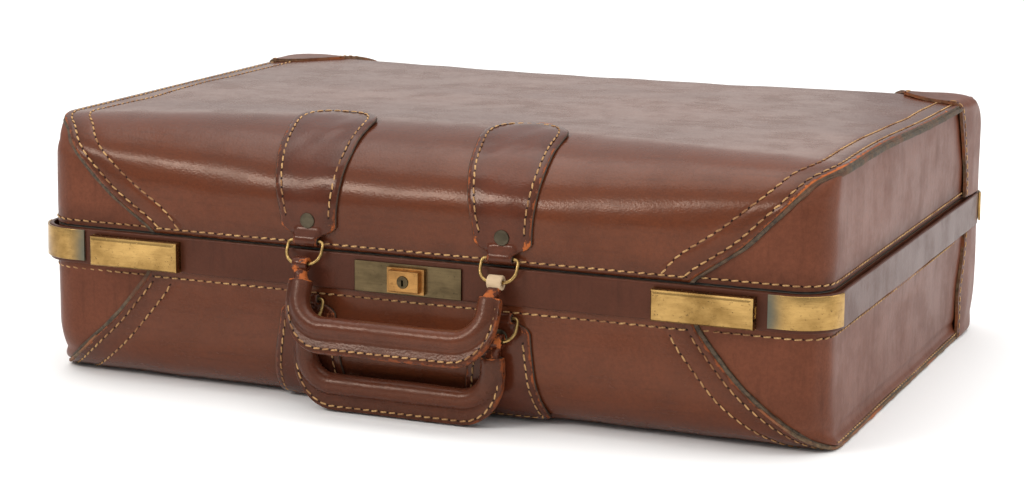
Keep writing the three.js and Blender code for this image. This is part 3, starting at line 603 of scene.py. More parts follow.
HIDE_MID, HIDE_DARK, HIDE_WARM = rgb(88, 44, 27), rgb(48, 22, 14), rgb(102, 52, 30)
LONG, TALL, EVEN = (1, 10, 10), (8, 8, 1), (2, 2, 2)
M = {
    "hide": leather("hide_long", HIDE_MID, HIDE_DARK, HIDE_WARM, LONG, scuffs=0.7, orange=0.7),
    # The ends' hide has a lighter, warmer base than the wrap's: painted light for the brightness of the lit
    # end faces. It also colours the rear corner caps.
    "end_hide_painted_light": leather("hide_end", rgb(102, 55, 37), HIDE_DARK, rgb(112, 62, 42), TALL,
                        (0.36, 0.46), scuffs=0.1, orange=0.3, shine=0.2),
    "band": leather("hide_band", rgb(74, 38, 27), rgb(46, 23, 16), rgb(82, 43, 29), TALL,
                    (0.3, 0.4), edges=False, scuffs=0.1, shine=0.2),
    "tab": leather("hide_tab", rgb(82, 39, 25), rgb(44, 20, 13), rgb(94, 45, 27), EVEN,
                   (0.17, 0.28), scuffs=0.4, orange=0.6),
    "grip": leather("hide_grip", rgb(82, 41, 27), rgb(44, 21, 14), rgb(96, 50, 31), (2, 6, 6),
                    (0.24, 0.36), grain=0.35, scuffs=0.3, orange=0.5),
    "cut_grey": raw_edge("cut_edge_grey", rgb(98, 82, 64), rgb(34, 26, 21), rgb(100, 60, 38)),
    "cut_warm": raw_edge("cut_edge_worn", rgb(126, 104, 78), rgb(58, 42, 30), rgb(160, 84, 40), 0.6),
    "cut_dark": raw_edge("cut_edge_dark", rgb(82, 62, 46), rgb(36, 24, 19), rgb(112, 60, 34), 0.2),
    "thread": thread_material(),
    "hole": hole_shade_material(),
    "brass": metal("aged_brass", rgb(186, 150, 92), rgb(128, 98, 54), rgb(52, 42, 30), rough=(0.14, 0.3)),
    "wire": metal("ring_brass", rgb(186, 154, 96), rgb(128, 98, 56), rgb(56, 44, 30), scale=200),
    "bronze": metal("lock_bronze", rgb(108, 92, 66), rgb(74, 62, 44), rgb(36, 31, 25), rough=(0.26, 0.45)),
    "barrel": metal("key_barrel_bronze", rgb(92, 78, 56), rgb(60, 50, 36), rgb(30, 25, 20),
                    rough=(0.3, 0.5)),
    "copper": metal("slide_bronze", rgb(176, 130, 76), rgb(112, 80, 46), rgb(44, 33, 24),
                    rough=(0.24, 0.42)),
    "rivet": metal("rivet_metal", rgb(98, 88, 72), rgb(66, 58, 46), rgb(34, 29, 24), rough=(0.36, 0.55)),
    "steel": metal("frame_steel", rgb(150, 147, 140), rgb(120, 116, 108), rgb(84, 66, 50), rough=(0.3, 0.5)),
    "lining": lining_material(),
    "core": core_material(),
    "floor": floor_material(),
}


# ---------------------------------------------------------------- stitches

def stitch_template(length=5.0, half_width=0.64, height=0.45):
    """One stitch: a flattened, sunken-ended capsule along x with z up."""
    loops = []
    half = ((1, 0.35, 0.9), (0.82, 0.8, 0.35), (0.4, 1, 0))  # place, size and sink, end first
    for u, size, sink in [(-u, size, sink) for u, size, sink in half] + list(half[::-1]):
        angle = np.linspace(0, 2 * math.pi, 7)[:-1]
        y = half_width * size * np.cos(angle)
        z = height * (size * np.sin(angle) + 0.35 - sink)
        loops.append(np.stack([np.full(6, u * length / 2), y, z], -1))
    return loft(np.array(loops))


# A shallow disc at each stitch hole, which carries the holes' painted shade.
def hole_template(half_length=0.95, half_width=0.6, height=0.13):
    rings = []
    for size, z in ((1, -0.3), (0.95, height * 0.7), (0.5, height)):
        angle = np.linspace(0, 2 * math.pi, 9)[:-1]
        rings.append(np.stack([half_length * size * np.cos(angle), half_width * size * np.sin(angle),
                               np.full(8, z)], -1))
    return loft(np.array(rings), kinds=1, cap_kind=1)


class Thread:
    """Rows of stitches gathered into one piece."""

    def __init__(self, seed):
        self.rng = np.random.default_rng(seed)
        self.verts, self.faces, self.kinds, self.count = [], [], [], 0
        self.stitch, self.hole = stitch_template(), hole_template()

    def copies(self, template, origin, along, up, turn):
        verts, faces, kinds = template
        across = np.cross(up, along)
        c, s = np.cos(turn)[:, None], np.sin(turn)[:, None]
        a, b = along * c + across * s, across * c - along * s
        frames = np.stack([a, b, up], 1)
        placed = origin[:, None] + np.einsum("vk,nkj->nvj", verts, frames)
        for i in range(len(origin)):
            start = self.count + i * len(verts)
            self.faces.extend([[v + start for v in f] for f in faces])
            self.kinds.extend(kinds)
        self.verts.append(placed.reshape(-1, 3))
        self.count += placed.shape[0] * placed.shape[1]

    def row(self, points, normals, pitch=PITCH, slant=7, lift=0.0, flip=False):
        """Stitches at an even pitch along a row of surface points."""
        gaps = np.linalg.norm(np.diff(points, axis=0), axis=1)
        s = np.concatenate([[0], np.cumsum(gaps)])
        n = int(s[-1] / pitch)
        if n < 2:
            return
        real = s[-1] / n

        def along(t):
            p = np.stack([np.interp(t, s, points[:, k]) for k in range(3)], -1)
            q = unit(np.stack([np.interp(t, s, normals[:, k]) for k in range(3)], -1))
            return p, q

        mid = (np.arange(n) + 0.5) * real + self.rng.normal(0, 0.12, n)
        origin, up = along(mid)
        a, _ = along(mid - 1.5)
        b, _ = along(mid + 1.5)
        direction = unit(b - a)
        direction = unit(direction - up * np.sum(direction * up, -1, keepdims=True))
        turn = np.radians(self.rng.normal(slant, 2.5, n)) * (-1 if flip else 1)
        self.copies(self.stitch, origin + up * (lift + 0.1), direction, up, turn)
        holes, up = along(np.arange(n + 1) * real)
        a, _ = along(np.clip(np.arange(n + 1) * real - 1.5, 0, s[-1]))
        b, _ = along(np.clip(np.arange(n + 1) * real + 1.5, 0, s[-1]))
        direction = unit(b - a)
        direction = unit(direction - up * np.sum(direction * up, -1, keepdims=True))
        turn = np.radians(self.rng.normal(-28, 6, n + 1)) * (-1 if flip else 1)
        self.copies(self.hole, holes + up * lift, direction, up, turn)

    def make(self, name, body):
        return piece(name, np.concatenate(self.verts), self.faces, body, (M["thread"], M["hole"]),
                     self.kinds, angle=60)


# ---------------------------------------------------------------- shells

WRAP_BORDER = np.array([0, 0.7, 1.6, 3, 4.2, 5, 5.8, 7.2, 10, 13.5, 16.2, 17.3, 18, 18.7, 20, 23, 28])


def wrap_panel(shell, name, body):
    """The panel that runs from the front hem over the flat to the back hem."""
    s = steps((0, 1.2), (6, 2.5), (shell.front, 3.5), (shell.roll_end + 6, 7),
              (shell.length - shell.roll_end - 6, 3.5), (shell.length - shell.front, 2.5),
              (shell.length - 6, 1.2), (shell.length, 1))
    reach, long = shell.reach(s)[:, None], shell.stretch(s)[:, None]
    right = reach - WRAP_BORDER[None] * long
    inner = right[:, -1:] * np.linspace(-1, 1, 74)[None, 1:-1]
    x = np.concatenate([-right, inner, right[:, ::-1]], 1)
    gap = np.broadcast_to(WRAP_BORDER[None], right.shape)
    far = np.minimum(reach - np.abs(inner), 60)
    edge = np.concatenate([gap, far, gap[:, ::-1]], 1)
    rows = np.broadcast_to(s[:, None], x.shape)
    flat = shell.point(x, rows)
    dip = -0.35 * bump(edge, ROW_NEAR, 1.3) - 0.32 * bump(edge, ROW_FAR, 1.5) - 0.55 * bump(edge, 0, 0.5)
    hem = np.minimum(rows, shell.length - rows)
    lift = dip + shell.skin(x, rows) - 0.8 * bump(hem, 0, 0.9)
    outer = shell.point(x, rows, lift)
    fray = 0.4 * wobble(flat, 17, 8) + 0.25 * wobble(flat, 6, 9)

    def rim(column, out, sink):
        sign = -1 if column == 0 else 1
        push = (out + fray[:, column] * min(1.0, out)) * long[:, 0]
        return shell.point(x[:, column] + sign * push, s, sink)[:, None]

    right_rim = [rim(-1, 0.5, -1.1), rim(-1, 0.8, -1.9), rim(-1, 1.0, -2.6)]
    left_rim = [rim(0, 1.0, -2.6), rim(0, 0.8, -1.9), rim(0, 0.5, -1.1)]
    under = shell.point(x, rows, -HIDE)
    loops = np.concatenate([outer, *right_rim, under[:, ::-1], *left_rim], 1)
    m = x.shape[1]
    kinds = [0] * (m - 1) + [1] * 4 + [0] * (m - 1) + [1] * 4
    verts, faces, kind = loft(loops, kinds=kinds, cap_kind=1)
    edge_all = np.concatenate([np.minimum(edge, hem + 0.8), np.zeros((len(s), 3)), np.full(x.shape, 30.0),
                               np.zeros((len(s), 3))], 1)
    torn = 0.7 * bump(edge, 0, 2.6) * smooth(235, 285, x) * smooth(150, 180, flat[..., 2])
    torn = torn * (1 - 0.6 * smooth(-190, -110, flat[..., 1]))
    wear = np.concatenate([torn, np.zeros((len(s), edge_all.shape[1] - m))], 1)
    return piece(name, verts, faces, body, (M["hide"], M["cut_grey"]), kind,
                 (f"{body}_wrap_panel",), {"edge": edge_all, "wear": wear})


def seam_welt(shell, side, parts):
    """The second layer of cut hide that shows beside and under the wrap's edge."""
    s = np.arange(0, shell.length + 0.1, 2.5)
    over_end = smooth(262, 297, shell.reach(s))
    x = shell.reach(s) + (1.5 * (1 - over_end) - 0.5 * over_end) * shell.stretch(s)
    lift = -1.9 * (1 - over_end) - 4.3 * over_end
    path = shell.point(side * x, s, 0.0)
    normal = shell.normal(s, x)
    path = path + normal * lift[:, None]
    jitter = 0.22 * wobble(path, 19, 21 + side) + 0.12 * wobble(path, 7, 31)
    path[:, 0] += side * jitter
    outward = np.zeros(path.shape)
    outward[:, 0] = side
    section = round_section(1.9, 1.25, 0.8, 2)
    loops = sweep(path, outward, normal, section)
    thicker = (1 + 0.45 * over_end)[:, None, None] if shell is LID else 1.0
    parts.append(loft(path[:, None] + (loops - path[:, None]) * thicker))


def body_lip(side, parts):
    """The rounded double edge along the bottom of an end."""
    s = np.arange(BODY.front + 8, BODY.length - BODY.front - 8, 2.5)
    path = BODY.point(side * (BODY.reach(s) + 0.1), s, -1.2)
    outward = np.zeros(path.shape)
    outward[:, 0] = side
    path = path + 0.14 * wobble(path, 15, 5)[:, None] * outward
    path[:, 2] = np.maximum(path[:, 2], 1.6)
    parts.append(loft(sweep(path, outward, BODY.normal(s, HALF_X), round_section(1.5, 1.5, 1.1, 2))))


def plan_row(hx, hy, radius, start_x):
    """One level of an end panel as x, y, outward normal and share of the way on to the end face."""
    straight = np.linspace(start_x, hx - radius, 12)[:-1]
    arc = np.linspace(0, math.pi / 2, 13)
    face = np.linspace(-(hy - radius), hy - radius, 66)[1:-1]
    x = np.concatenate([straight, hx - radius + radius * np.sin(arc), np.full(len(face), hx)])
    y = np.concatenate([np.full(len(straight), -hy), -(hy - radius) - radius * np.cos(arc), face])
    nx = np.concatenate([np.zeros(len(straight)), np.sin(arc), np.ones(len(face))])
    ny = np.concatenate([-np.ones(len(straight)), -np.cos(arc), np.zeros(len(face))])
    half = len(straight) + len(arc)
    x, nx = np.concatenate([x, x[:half][::-1]]), np.concatenate([nx, nx[:half][::-1]])
    y, ny = np.concatenate([y, -y[:half][::-1]]), np.concatenate([ny, -ny[:half][::-1]])
    return x, y, nx, ny


def body_edge_distance(y, z):
    """How far a point of the end face is from the body's bottom edge."""
    out = np.hypot(np.maximum(np.abs(y) - (HALF_Y - BODY_ROLL[0]), 0), np.maximum(BODY_ROLL[1] - z, 0))
    return BODY_ROLL[1] - out


def end_panel(shell, side, name, body):
    """The end, with its two returns tucked under the wrap at the slanted seams."""
    s = steps((0, 1.2), (6, 3), (shell.front, 3), (shell.roll_end - 14, 1.5), (shell.roll_end, 1))
    normal = shell.normal(s, HALF_X)
    bare = shell.bare(np.full(s.shape, HALF_X), s)
    base = np.stack([0 * s, bare[0], bare[1]], -1)
    inset = base - END_INSET * normal
    outer, inner, edge = [], [], []
    for i, row in enumerate(s):
        hx = HALF_X - END_INSET
        hy = -inset[i, 1]
        reach = float(shell.reach(row))
        radius = min(CORNER - END_INSET, max(2.0, HALF_X - 0.5 - reach))
        start = reach - 9 * float(shell.stretch(row))
        x, y, nx, ny = plan_row(hx, hy, radius, start)
        z = np.full(x.shape, inset[i, 2])
        swell = END_SWELL * np.clip(1 - (y / HALF_Y) ** 2, 0, 1) * nx
        height = abs(inset[i, 2] - shell.hem)
        push = swell * smooth(0, 25, height) * smooth(0, 22, abs(inset[i, 2] - shell.flat))
        if shell is BODY:
            e = body_edge_distance(y, inset[i, 2])
            push = push + nx * (2.3 * smooth(9.5, 6, e) - 1.1 * bump(e, 13, 2.6))
        lean = shell.bulge(x, np.full(x.shape, row)) * (1 - nx) * 0.8
        here = shell.bare(x, np.full(x.shape, row)) - bare[:, i:i + 1]
        z = z + here[1]
        x, y = x + nx * push, y + np.where(y < 0, here[0], -here[0]) + ny * lean
        outer.append(np.stack([side * x, y, z], -1))
        inner.append(np.stack([side * (x - nx * END_HIDE), y - ny * END_HIDE, z], -1))
        edge.append(np.minimum(np.full(x.shape, row + 0.8), 60))
    outer, inner = np.array(outer), np.array(inner)
    facing = unit(outer - inner)
    wave = (0.3 * wobble(outer, 120, 13) + 0.12 * wobble(outer, 40, 14)) * smooth(4, 25, s)[:, None]
    outer = outer + facing * wave[..., None]
    verts, faces, kind = sheet(outer, inner)
    edges = np.concatenate([np.array(edge), np.full(outer.shape[:2], 30.0)], 1)
    word = name.split("_")[-1]
    return piece(name, verts, faces, body, (M["end_hide_painted_light"], M["cut_grey"]), kind,
                 (f"{body}_end_{word}",), {"edge": edges, "wear": np.zeros(edges.shape)})


def shells():
    for shell, body in ((LID, "lid"), (BODY, "body")):
        wrap_panel(shell, f"{body}_wrap", body)
        welts = []
        for word, side in SIDES:
            end_panel(shell, side, f"{body}_end_skin_{word}", body)
            seam_welt(shell, side, welts)
        verts, faces, kinds = join_lofts(welts)
        piece(f"{body}_seam_welt", verts, faces, body, (M["cut_grey"],), kinds)
    lips = []
    for _, side in SIDES:
        body_lip(side, lips)
    verts, faces, kinds = join_lofts(lips)
    piece("body_bottom_lip", verts, faces, "body", (M["cut_warm"],), kinds)


# ---------------------------------------------------------------- rows round the case

def plan_runs(offset):
    """Lengths of the straights (x, y) and arcs (a) round the case, from the front's centre."""
    hx, hy, r = HALF_X + offset, HALF_Y + offset, CORNER + offset
    quarter = math.pi / 2 * r
    return [("x", hx - r), ("a", quarter), ("y", 2 * (hy - r)), ("a", quarter), ("x", 2 * (hx - r)),
            ("a", quarter), ("y", 2 * (hy - r)), ("a", quarter), ("x", hx - r)]


def plan_length(offset):
    return sum(length for _, length in plan_runs(offset))


def plan_path(offset, start=0.0, stop=None, gap=3.0):
    """Points and normals along the way round the case: all of it, or from start to stop."""
    hx, hy, r = HALF_X + offset, HALF_Y + offset, CORNER + offset
    total = plan_length(offset)
    if stop is None:
        t = np.linspace(0, total, int(total / gap))[:-1]
    else:
        t = np.append(np.arange(start, stop, gap), stop)
    corners = [(hx - r, -hy + r), (hx - r, hy - r), (-hx + r, hy - r), (-hx + r, -hy + r)]
    points, normals = np.zeros((len(t), 3)), np.zeros((len(t), 3))
    for i, v in enumerate(t):
        v = v % total
        turn = 0  # corners passed
        for kind, length in plan_runs(offset):
            if v <= length + 1e-9:
                break
            v -= length
            turn += kind == "a"
        if kind == "a":
            cx, cy = corners[turn]
            a = -math.pi / 2 + turn * math.pi / 2 + v / r
            points[i, :2] = cx + r * math.cos(a), cy + r * math.sin(a)
            normals[i, :2] = math.cos(a), math.sin(a)
            continue
        heading = turn * math.pi / 2
        out = np.array([math.sin(heading), -math.cos(heading)])
        ahead = np.array([math.cos(heading), math.sin(heading)])
        base = np.array([0.0, -hy]) if turn == 0 else np.array(corners[turn - 1]) + out * r
        points[i, :2] = base + ahead * v
        normals[i, :2] = out
    return points, normals


def around_front_corner(offset, front_x, end_y, gap=2.0):
    """Round the right front corner, from x on the front to y on the end."""
    r = CORNER + offset
    hx, hy = HALF_X + offset, HALF_Y + offset
    stop = (hx - r) + math.pi / 2 * r + (end_y + hy - r)
    return plan_path(offset, front_x, stop, gap)


def mirror(points, side, back=False):
    out = points.copy()
    out[..., 0] *= side
    if back:
        out[..., 1] *= -1
    return out


def band():
    """The leather band sewn over the steel frame, all round the body."""
    bottom, top, inner, outer = BAND
    points, normals = plan_path((inner + outer) / 2)
    points[:, 2] = (bottom + top) / 2
    up = np.tile([0.0, 0.0, 1.0], (len(points), 1))
    section = round_section((outer - inner) / 2, (top - bottom) / 2, 0.9, 3)
    heights = np.linspace(-0.85, 0.85, 9) * (top - bottom) / 2
    face = np.stack([np.full(len(heights), section[:, 0].max()), heights], -1)
    right = section[section[:, 0] > 0]
    right = right[np.argsort(right[:, 1])]
    low, high = right[right[:, 1] < 0], right[right[:, 1] > 0]
    left = section[section[:, 0] < 0]
    left = left[np.argsort(-left[:, 1])]
    profile = np.concatenate([low, face, high, left])
    loops = sweep(points, normals, up, profile)
    ripple = 0.12 * wobble(loops, 60, 41)
    loops = loops + normals[:, None] * ripple[..., None]
    verts, faces, kinds = loft(loops, closed=True)
    piece("frame_band", verts, faces, "body", (M["band"],), kinds, ("body_band",))


def hem_rows():
    """The rows sewn through the hems on each side of the band."""
    for shell, z, body in ((LID, LID_ROW_Z, "lid"), (BODY, BODY_ROW_Z, "body")):
        thread = Thread(51)
        s = float(shell.at_z(z))
        reach = float(shell.reach(s))
        x = np.arange(-reach + 4, reach - 4, 3.0)
        for at in (s, shell.length - s):
            level = np.full(x.shape, at)
            thread.row(shell.point(x, level, shell.skin(x, level)), shell.normal(level, x), flip=at != s)
        for _, side in SIDES:
            first = reach + 3
            points, normals = plan_path(-END_INSET, first, plan_length(-END_INSET) / 2 - first)
            points[:, 2] = z
            swell = END_SWELL * np.clip(1 - (points[:, 1] / HALF_Y) ** 2, 0, 1) * normals[:, 0]
            points[:, 0] += swell * float(smooth(0, 25, abs(z - shell.hem)))
            thread.row(mirror(points, side), mirror(normals, side), flip=side < 0, lift=0.25)
        thread.make(f"{body}_hem_thread", body)


def seam_rows():
    """Two rows along each slanted seam and over the ends, and the row above the bottom lip."""
    for shell, body, margin in ((LID, "lid", 3), (BODY, "body", 33)):
        thread = Thread(61)
        for _, side in SIDES:
            for inset in (ROW_NEAR, ROW_FAR):
                points, normals = shell.seam_row(inset, side, margin, shell.length - margin)
                thread.row(points, normals, flip=side > 0, lift=-0.15)
        if shell is BODY:
            for _, side in SIDES:
                y = np.arange(-195, 195.1, 3)
                depth = 5.2
                flat = np.abs(y) <= HALF_Y - BODY_ROLL[0]
                r = BODY_ROLL[1] - depth
                over = np.clip(np.abs(y) - (HALF_Y - BODY_ROLL[0]), 0, r)
                z = np.where(flat, depth, BODY_ROLL[1] - np.sqrt(np.maximum(r * r - over * over, 0)))
                points = np.stack([np.full(y.shape, side * (HALF_X - END_INSET + 2.75)), y, z], -1)
                normals = np.tile([float(side), 0, 0], (len(y), 1))
                thread.row(points, normals, pitch=6, flip=side > 0)
        thread.make(f"{body}_seam_thread", body)


def guards():
    """The brass corner guards on the band."""
    bottom, top, inner, outer = GUARD
    for place, back in (("front", False), ("rear", True)):
        for word, side in SIDES:
            name = f"corner_guard_{place}_{word}"
            start = GUARD_REAR_X if back else GUARD_FRONT_X
            points, normals = around_front_corner((inner + outer) / 2, start, -GUARD_END_Y)
            points[:, 2] = (bottom + top) / 2
            points, normals = mirror(points, side, back), mirror(normals, side, back)
            up = np.tile([0.0, 0.0, 1.0], (len(points), 1))
            section = round_section((outer - inner) / 2, (top - bottom) / 2, 0.55, 3)
            loops = sweep(points, normals, up, section)
            loops = loops + normals[:, None] * (0.1 * wobble(loops, 14, 71))[..., None]
            tarnish = np.broadcast_to(bump(np.arange(len(points)) * 2.0, 0, 8)[:, None], loops.shape[:2])
            verts, faces, kinds = loft(loops)
            piece(f"guard_{place}_{word}", verts, faces, "body", (M["brass"],), kinds, (name,),
                  {"tarnish": tarnish * (0.2 if back else 1.0)})


# ---------------------------------------------------------------- rear corner patches

def patch_levels(shell):
    """Heights of the rows that climb a rear corner."""
    rz = LID_END_ROLL[1] if shell is LID else BODY_ROLL[1]
    up = shell.up
    wall = np.linspace(shell.hem + up * (0.3 if shell is LID else 25.9), shell.flat - up * rz * 1.7, 9)[:-1]
    roll = shell.flat - up * rz * 1.7 * (1 - np.sin(np.radians(np.linspace(0, 90, 30))))
    return np.concatenate([wall, roll])


def back_at(shell, x, z):
    """Half-depth of the case and its outward direction at a place on the back."""
    share = np.clip((np.abs(x) - ROLL_HOLD) / (HALF_X - ROLL_HOLD), 0, 1)
    middle, end = shell.rolls
    roll = [a * (1 - share) + b * share for a, b in zip(middle, end)]
    inward, ny, nz = rolled(shell.flat, shell.up, roll, z)
    return HALF_Y - inward, ny, nz


def patch_top(rows_mid, rows_n):
    """Goes on over the flat of the lid to the patch's slanting front edge."""
    last, up = rows_mid[-1], np.tile([0.0, 0.0, 1.0], (len(rows_mid[-1]), 1))
    t = np.linspace(0, 1, len(last))[:, None]
    edge = last[:1] * (1 - t) + last[-1:] * t
    edge[:, :2] -= PATCH_EDGE_BOW * np.sin(math.pi * t) * np.array([0.55, 0.83])
    for share in np.linspace(0, 1, 7)[1:]:
        row = last * (1 - share) + edge * share
        s = LID.length / 2 + row[:, 1] * 0.85
        row[:, 2] = TOP + PATCH_LIFT + PATCH_THICK / 2 + LID.bulge(row[:, 0], s) + LID.skin(row[:, 0], s)
        rows_mid.append(row)
        rows_n.append(up)


def rear_patch(shell, side, body):
    """A leather cap over a rear corner, with hollowed edges."""
    z = patch_levels(shell)
    if shell is LID:
        inner_x = np.interp(z, (113, 150, 179, 185, 189.5, 191), (240, 229, 227, 232, 241, 247))
        end_y = np.interp(z, (113, 121, 140, 163, 185, 191), (166, 165, 161, 150, 140, 133))
    else:
        inner_x = np.interp(z, (0, 4, 20, 50, 86), (292, 285, 262, 250, 262))
        end_y = np.interp(z, (0, 4, 41, 69, 86), (156, 156, 156, 166, 170))
    rows_mid, rows_n = [], []
    for i in range(len(z)):
        gap = abs(z[i] - shell.flat)
        edge_turn = 6.0
        drop = edge_turn * (1 - math.sqrt(max(0.0, 1 - max(0.0, 1 - gap / edge_turn) ** 2)))
        hx = HALF_X - drop
        radius = min(CORNER, max(5.0, hx - inner_x[i] - 4))
        corner_y = float(back_at(shell, hx, z[i])[0])
        stop_y = min(end_y[i], corner_y - radius - 2)
        back = np.linspace(inner_x[i], hx - radius, 14)[:-1]
        arc = np.linspace(math.pi / 2, 0, 14)
        down = np.linspace(corner_y - radius, stop_y, 20)[1:]
        x = np.concatenate([back, hx - radius + radius * np.cos(arc), np.full(len(down), hx)])
        hy, _, nz = back_at(shell, x, z[i])
        y = hy - radius + np.concatenate([np.full(len(back), radius), radius * np.sin(arc), 0 * down])
        y[-len(down):] = down
        nx = np.concatenate([np.zeros(len(back)), np.cos(arc), np.ones(len(down))])
        n_y = np.concatenate([np.ones(len(back)), np.sin(arc), np.zeros(len(down))])
        top = max(0.0, 1 - gap / edge_turn)
        share = nz * (1 - nx) + shell.up * nx * min(1.0, top)
        flat = np.sqrt(np.maximum(1 - share ** 2, 0))
        n = unit(np.stack([nx * flat, n_y * flat, share], -1))
        along = np.concatenate([np.zeros(len(back) + len(arc)), np.linspace(0, 1, len(down))])
        s = shell.length - float(shell.at_z(z[i]))
        lift = PATCH_LIFT + PATCH_THICK / 2 - 1.6 * smooth(0.35, 1, along) * (1 - top)
        lift = lift + (shell.bulge(x, s) + shell.skin(x, np.full(x.shape, s))) * (1 - nx)
        p = np.stack([x, y, np.full(x.shape, z[i])], -1) + n * lift[:, None]
        rows_mid.append(p)
        rows_n.append(n)
    if shell is LID:
        patch_top(rows_mid, rows_n)
    mid, n = np.array(rows_mid), np.array(rows_n)
    mid = mid + n * (0.22 * wobble(mid, 45, 83))[..., None]
    mid[..., 0] *= side
    n[..., 0] *= side
    half = PATCH_THICK / 2
    outer, inner = mid + n * half, mid - n * half
    verts, faces, kind = sheet(outer, inner)
    m = mid.shape[1]
    columns = np.minimum(np.arange(m), np.arange(m)[::-1]) * 2.6
    edge = np.minimum(columns[None], (np.arange(len(mid))[::-1] * 2.5)[:, None])
    edges = np.concatenate([edge, np.full(edge.shape, 30.0)], 1)
    word = side_word(side)
    piece(f"{body}_corner_cap_{word}", verts, faces, body, (M["end_hide_painted_light"], M["cut_warm"]), kind,
          (f"{body}_rear_patch_{word}",), {"edge": edges, "wear": np.zeros(edges.shape)})
    thread = Thread(91)
    for column in (2, m - 3):
        thread.row(outer[:, column], n[:, column], lift=0.0, flip=side > 0)
    thread.make(f"{body}_corner_thread_{word}", body)


# ---------------------------------------------------------------- tabs, rivets and rings

def sway(shell, s):
    """How far a tab's centre stands to the left of its place, further over towards a lid tab's top."""
    top = TAB_SWAY if shell is LID else FRONT_SWAY
    return FRONT_SWAY + (top - FRONT_SWAY) * smooth(10, LID_TAB_END, s)


def tab_width(q, table):
    return np.interp(q, [t[0] for t in table], [t[1] for t in table])


def tab(shell, side, body, bar_z, table, end_s, round_from, worn):
    """A handle tab: a tongue round the ring, a riveted neck and a body that lies on the shell."""
    up = shell.up
    turn = np.radians(np.linspace(-70, 180, 15))
    fold_y = BAR_Y + TONGUE_MID * np.cos(turn)
    fold_z = bar_z - up * TONGUE_MID * np.sin(turn)
    fold_n = np.stack([0 * turn, np.cos(turn), -up * np.sin(turn)], -1)
    fold_p = np.stack([0 * turn, fold_y, fold_z], -1)
    start = float(shell.at_z(bar_z + up * 1.0))
    rest = end_s - round_from
    far = round_from + rest * np.sin(np.linspace(0, math.pi / 2 * 0.985, 14))
    s = np.concatenate([np.arange(start + 1.2, start + 12, 1.2),
                        np.arange(start + 12, round_from, 2.6), far])
    settle = smooth(0, 9, s - start)
    lift = TAB_LIFT + TAB_THICK / 2
    gap = -(BAR_Y - TONGUE_MID) - HALF_Y
    width = tab_width(s, table)
    width = TONGUE_HALF + (width - TONGUE_HALF) * smooth(1, 6, s - start)
    tip = np.clip((s - round_from) / rest, 0, 1)
    width = width * np.sqrt(np.maximum(1 - tip ** TIP_ROUND, 0.02))
    u = np.concatenate([[-1, -0.96, -0.9], np.linspace(-0.8, 0.8, 15), [0.9, 0.96, 1]])
    fold_w = np.full(len(turn), TONGUE_HALF) * np.linspace(0.92, 1.0, len(turn))
    centre = side * TAB_X + sway(shell, s)[:, None]
    mid_fold = np.repeat(fold_p[:, None], len(u), 1)
    mid_fold[..., 0] = side * TAB_X + FRONT_SWAY + fold_w[:, None] * u[None]
    x = centre + width[:, None] * u[None]
    rows = np.broadcast_to(s[:, None], x.shape)
    calm = 0.3 + 0.7 * smooth(18, 45, s - start)[:, None]
    shoulder = smooth(8.5, 11.0, np.abs(x - centre))
    out = lift + (gap - lift) * (1 - settle)[:, None] * (1 - shoulder)
    mid_shell = shell.point(x, rows, out + shell.skin(x, rows) * calm)
    mid = np.concatenate([mid_fold, mid_shell])
    n = np.concatenate([np.repeat(fold_n[:, None], len(u), 1),
                        np.repeat(shell.normal(s)[:, None], len(u), 1)])
    thick = np.concatenate([np.full(len(turn), TONGUE_THICK),
                            TONGUE_THICK + (TAB_THICK - TONGUE_THICK) * settle])
    ruck = 0.12 * wobble(mid, 17, 101 + side) + 0.22 * wobble(mid, 40, 103)
    ruck[:len(turn)] *= 0.3
    ruck[len(turn):] *= calm
    mid = mid + n * ruck[..., None]
    verts, faces, kinds = strap(mid, n, thick)
    margin = np.concatenate([fold_w, width])[:, None] * (1 - np.abs(u))[None]
    edge = np.minimum(margin, 30)
    tip_gap = np.concatenate([np.full(len(turn), 30.0), np.maximum(end_s - s, 0)])[:, None]
    edge = np.minimum(edge, tip_gap)
    along = np.concatenate([np.full(len(turn), -3.0), s - start])[:, None]
    sideways = np.abs(np.broadcast_to(u[None], edge.shape))
    wear = 0.62 * bump(along, 9, 5) * smooth(0.55, 0.98, sideways) * worn
    if shell is LID:
        right_half = smooth(-0.2, 0.6, np.broadcast_to(u[None], edge.shape))
        wear = np.maximum(wear, 0.66 * bump(tip_gap, 0, 3.0) * right_half)
    full = np.concatenate([edge, edge[:, -1:] * 0, edge[:, -1:] * 0, np.full(edge.shape, 30.0),
                           edge[:, :1] * 0, edge[:, :1] * 0], 1)
    wide = np.concatenate([wear, wear[:, -1:], wear[:, -1:], wear, wear[:, :1], wear[:, :1]], 1)
    word = side_word(side)
    piece(f"{body}_handle_tab_{word}", verts, faces, body, (M["tab"], M["cut_dark"]), kinds,
          (f"{body}_tab_{word}",), {"edge": full, "wear": wide})


def tab_thread(shell, side, body, table, from_s, end_s, round_from):
    """A row just inside a tab's edge, round its far end."""
    thread = Thread(111)
    inset = 4.6
    rest = end_s - round_from
    up_s = np.arange(from_s, round_from, 2.0)
    turn = np.linspace(0, math.pi / 2, 16)
    tip_s = round_from + (rest - inset) * np.sin(turn)
    tip_w = (tab_width(np.full(turn.shape, round_from), table) - inset) * np.cos(turn) ** (2 / TIP_ROUND)
    s = np.concatenate([up_s, tip_s])
    w = np.concatenate([tab_width(up_s, table) - inset, tip_w])
    q = np.concatenate([s, s[::-1][1:]])
    x = side * TAB_X + sway(shell, q) + np.concatenate([-w, w[::-1][1:]])
    lift = TAB_LIFT + TAB_THICK + shell.skin(x, q)
    points = shell.point(x, q, lift)
    thread.row(points, shell.normal(q, x), pitch=6.4, lift=0.05)
    word = side_word(side)
    thread.make(f"{body}_tab_thread_{word}", body)


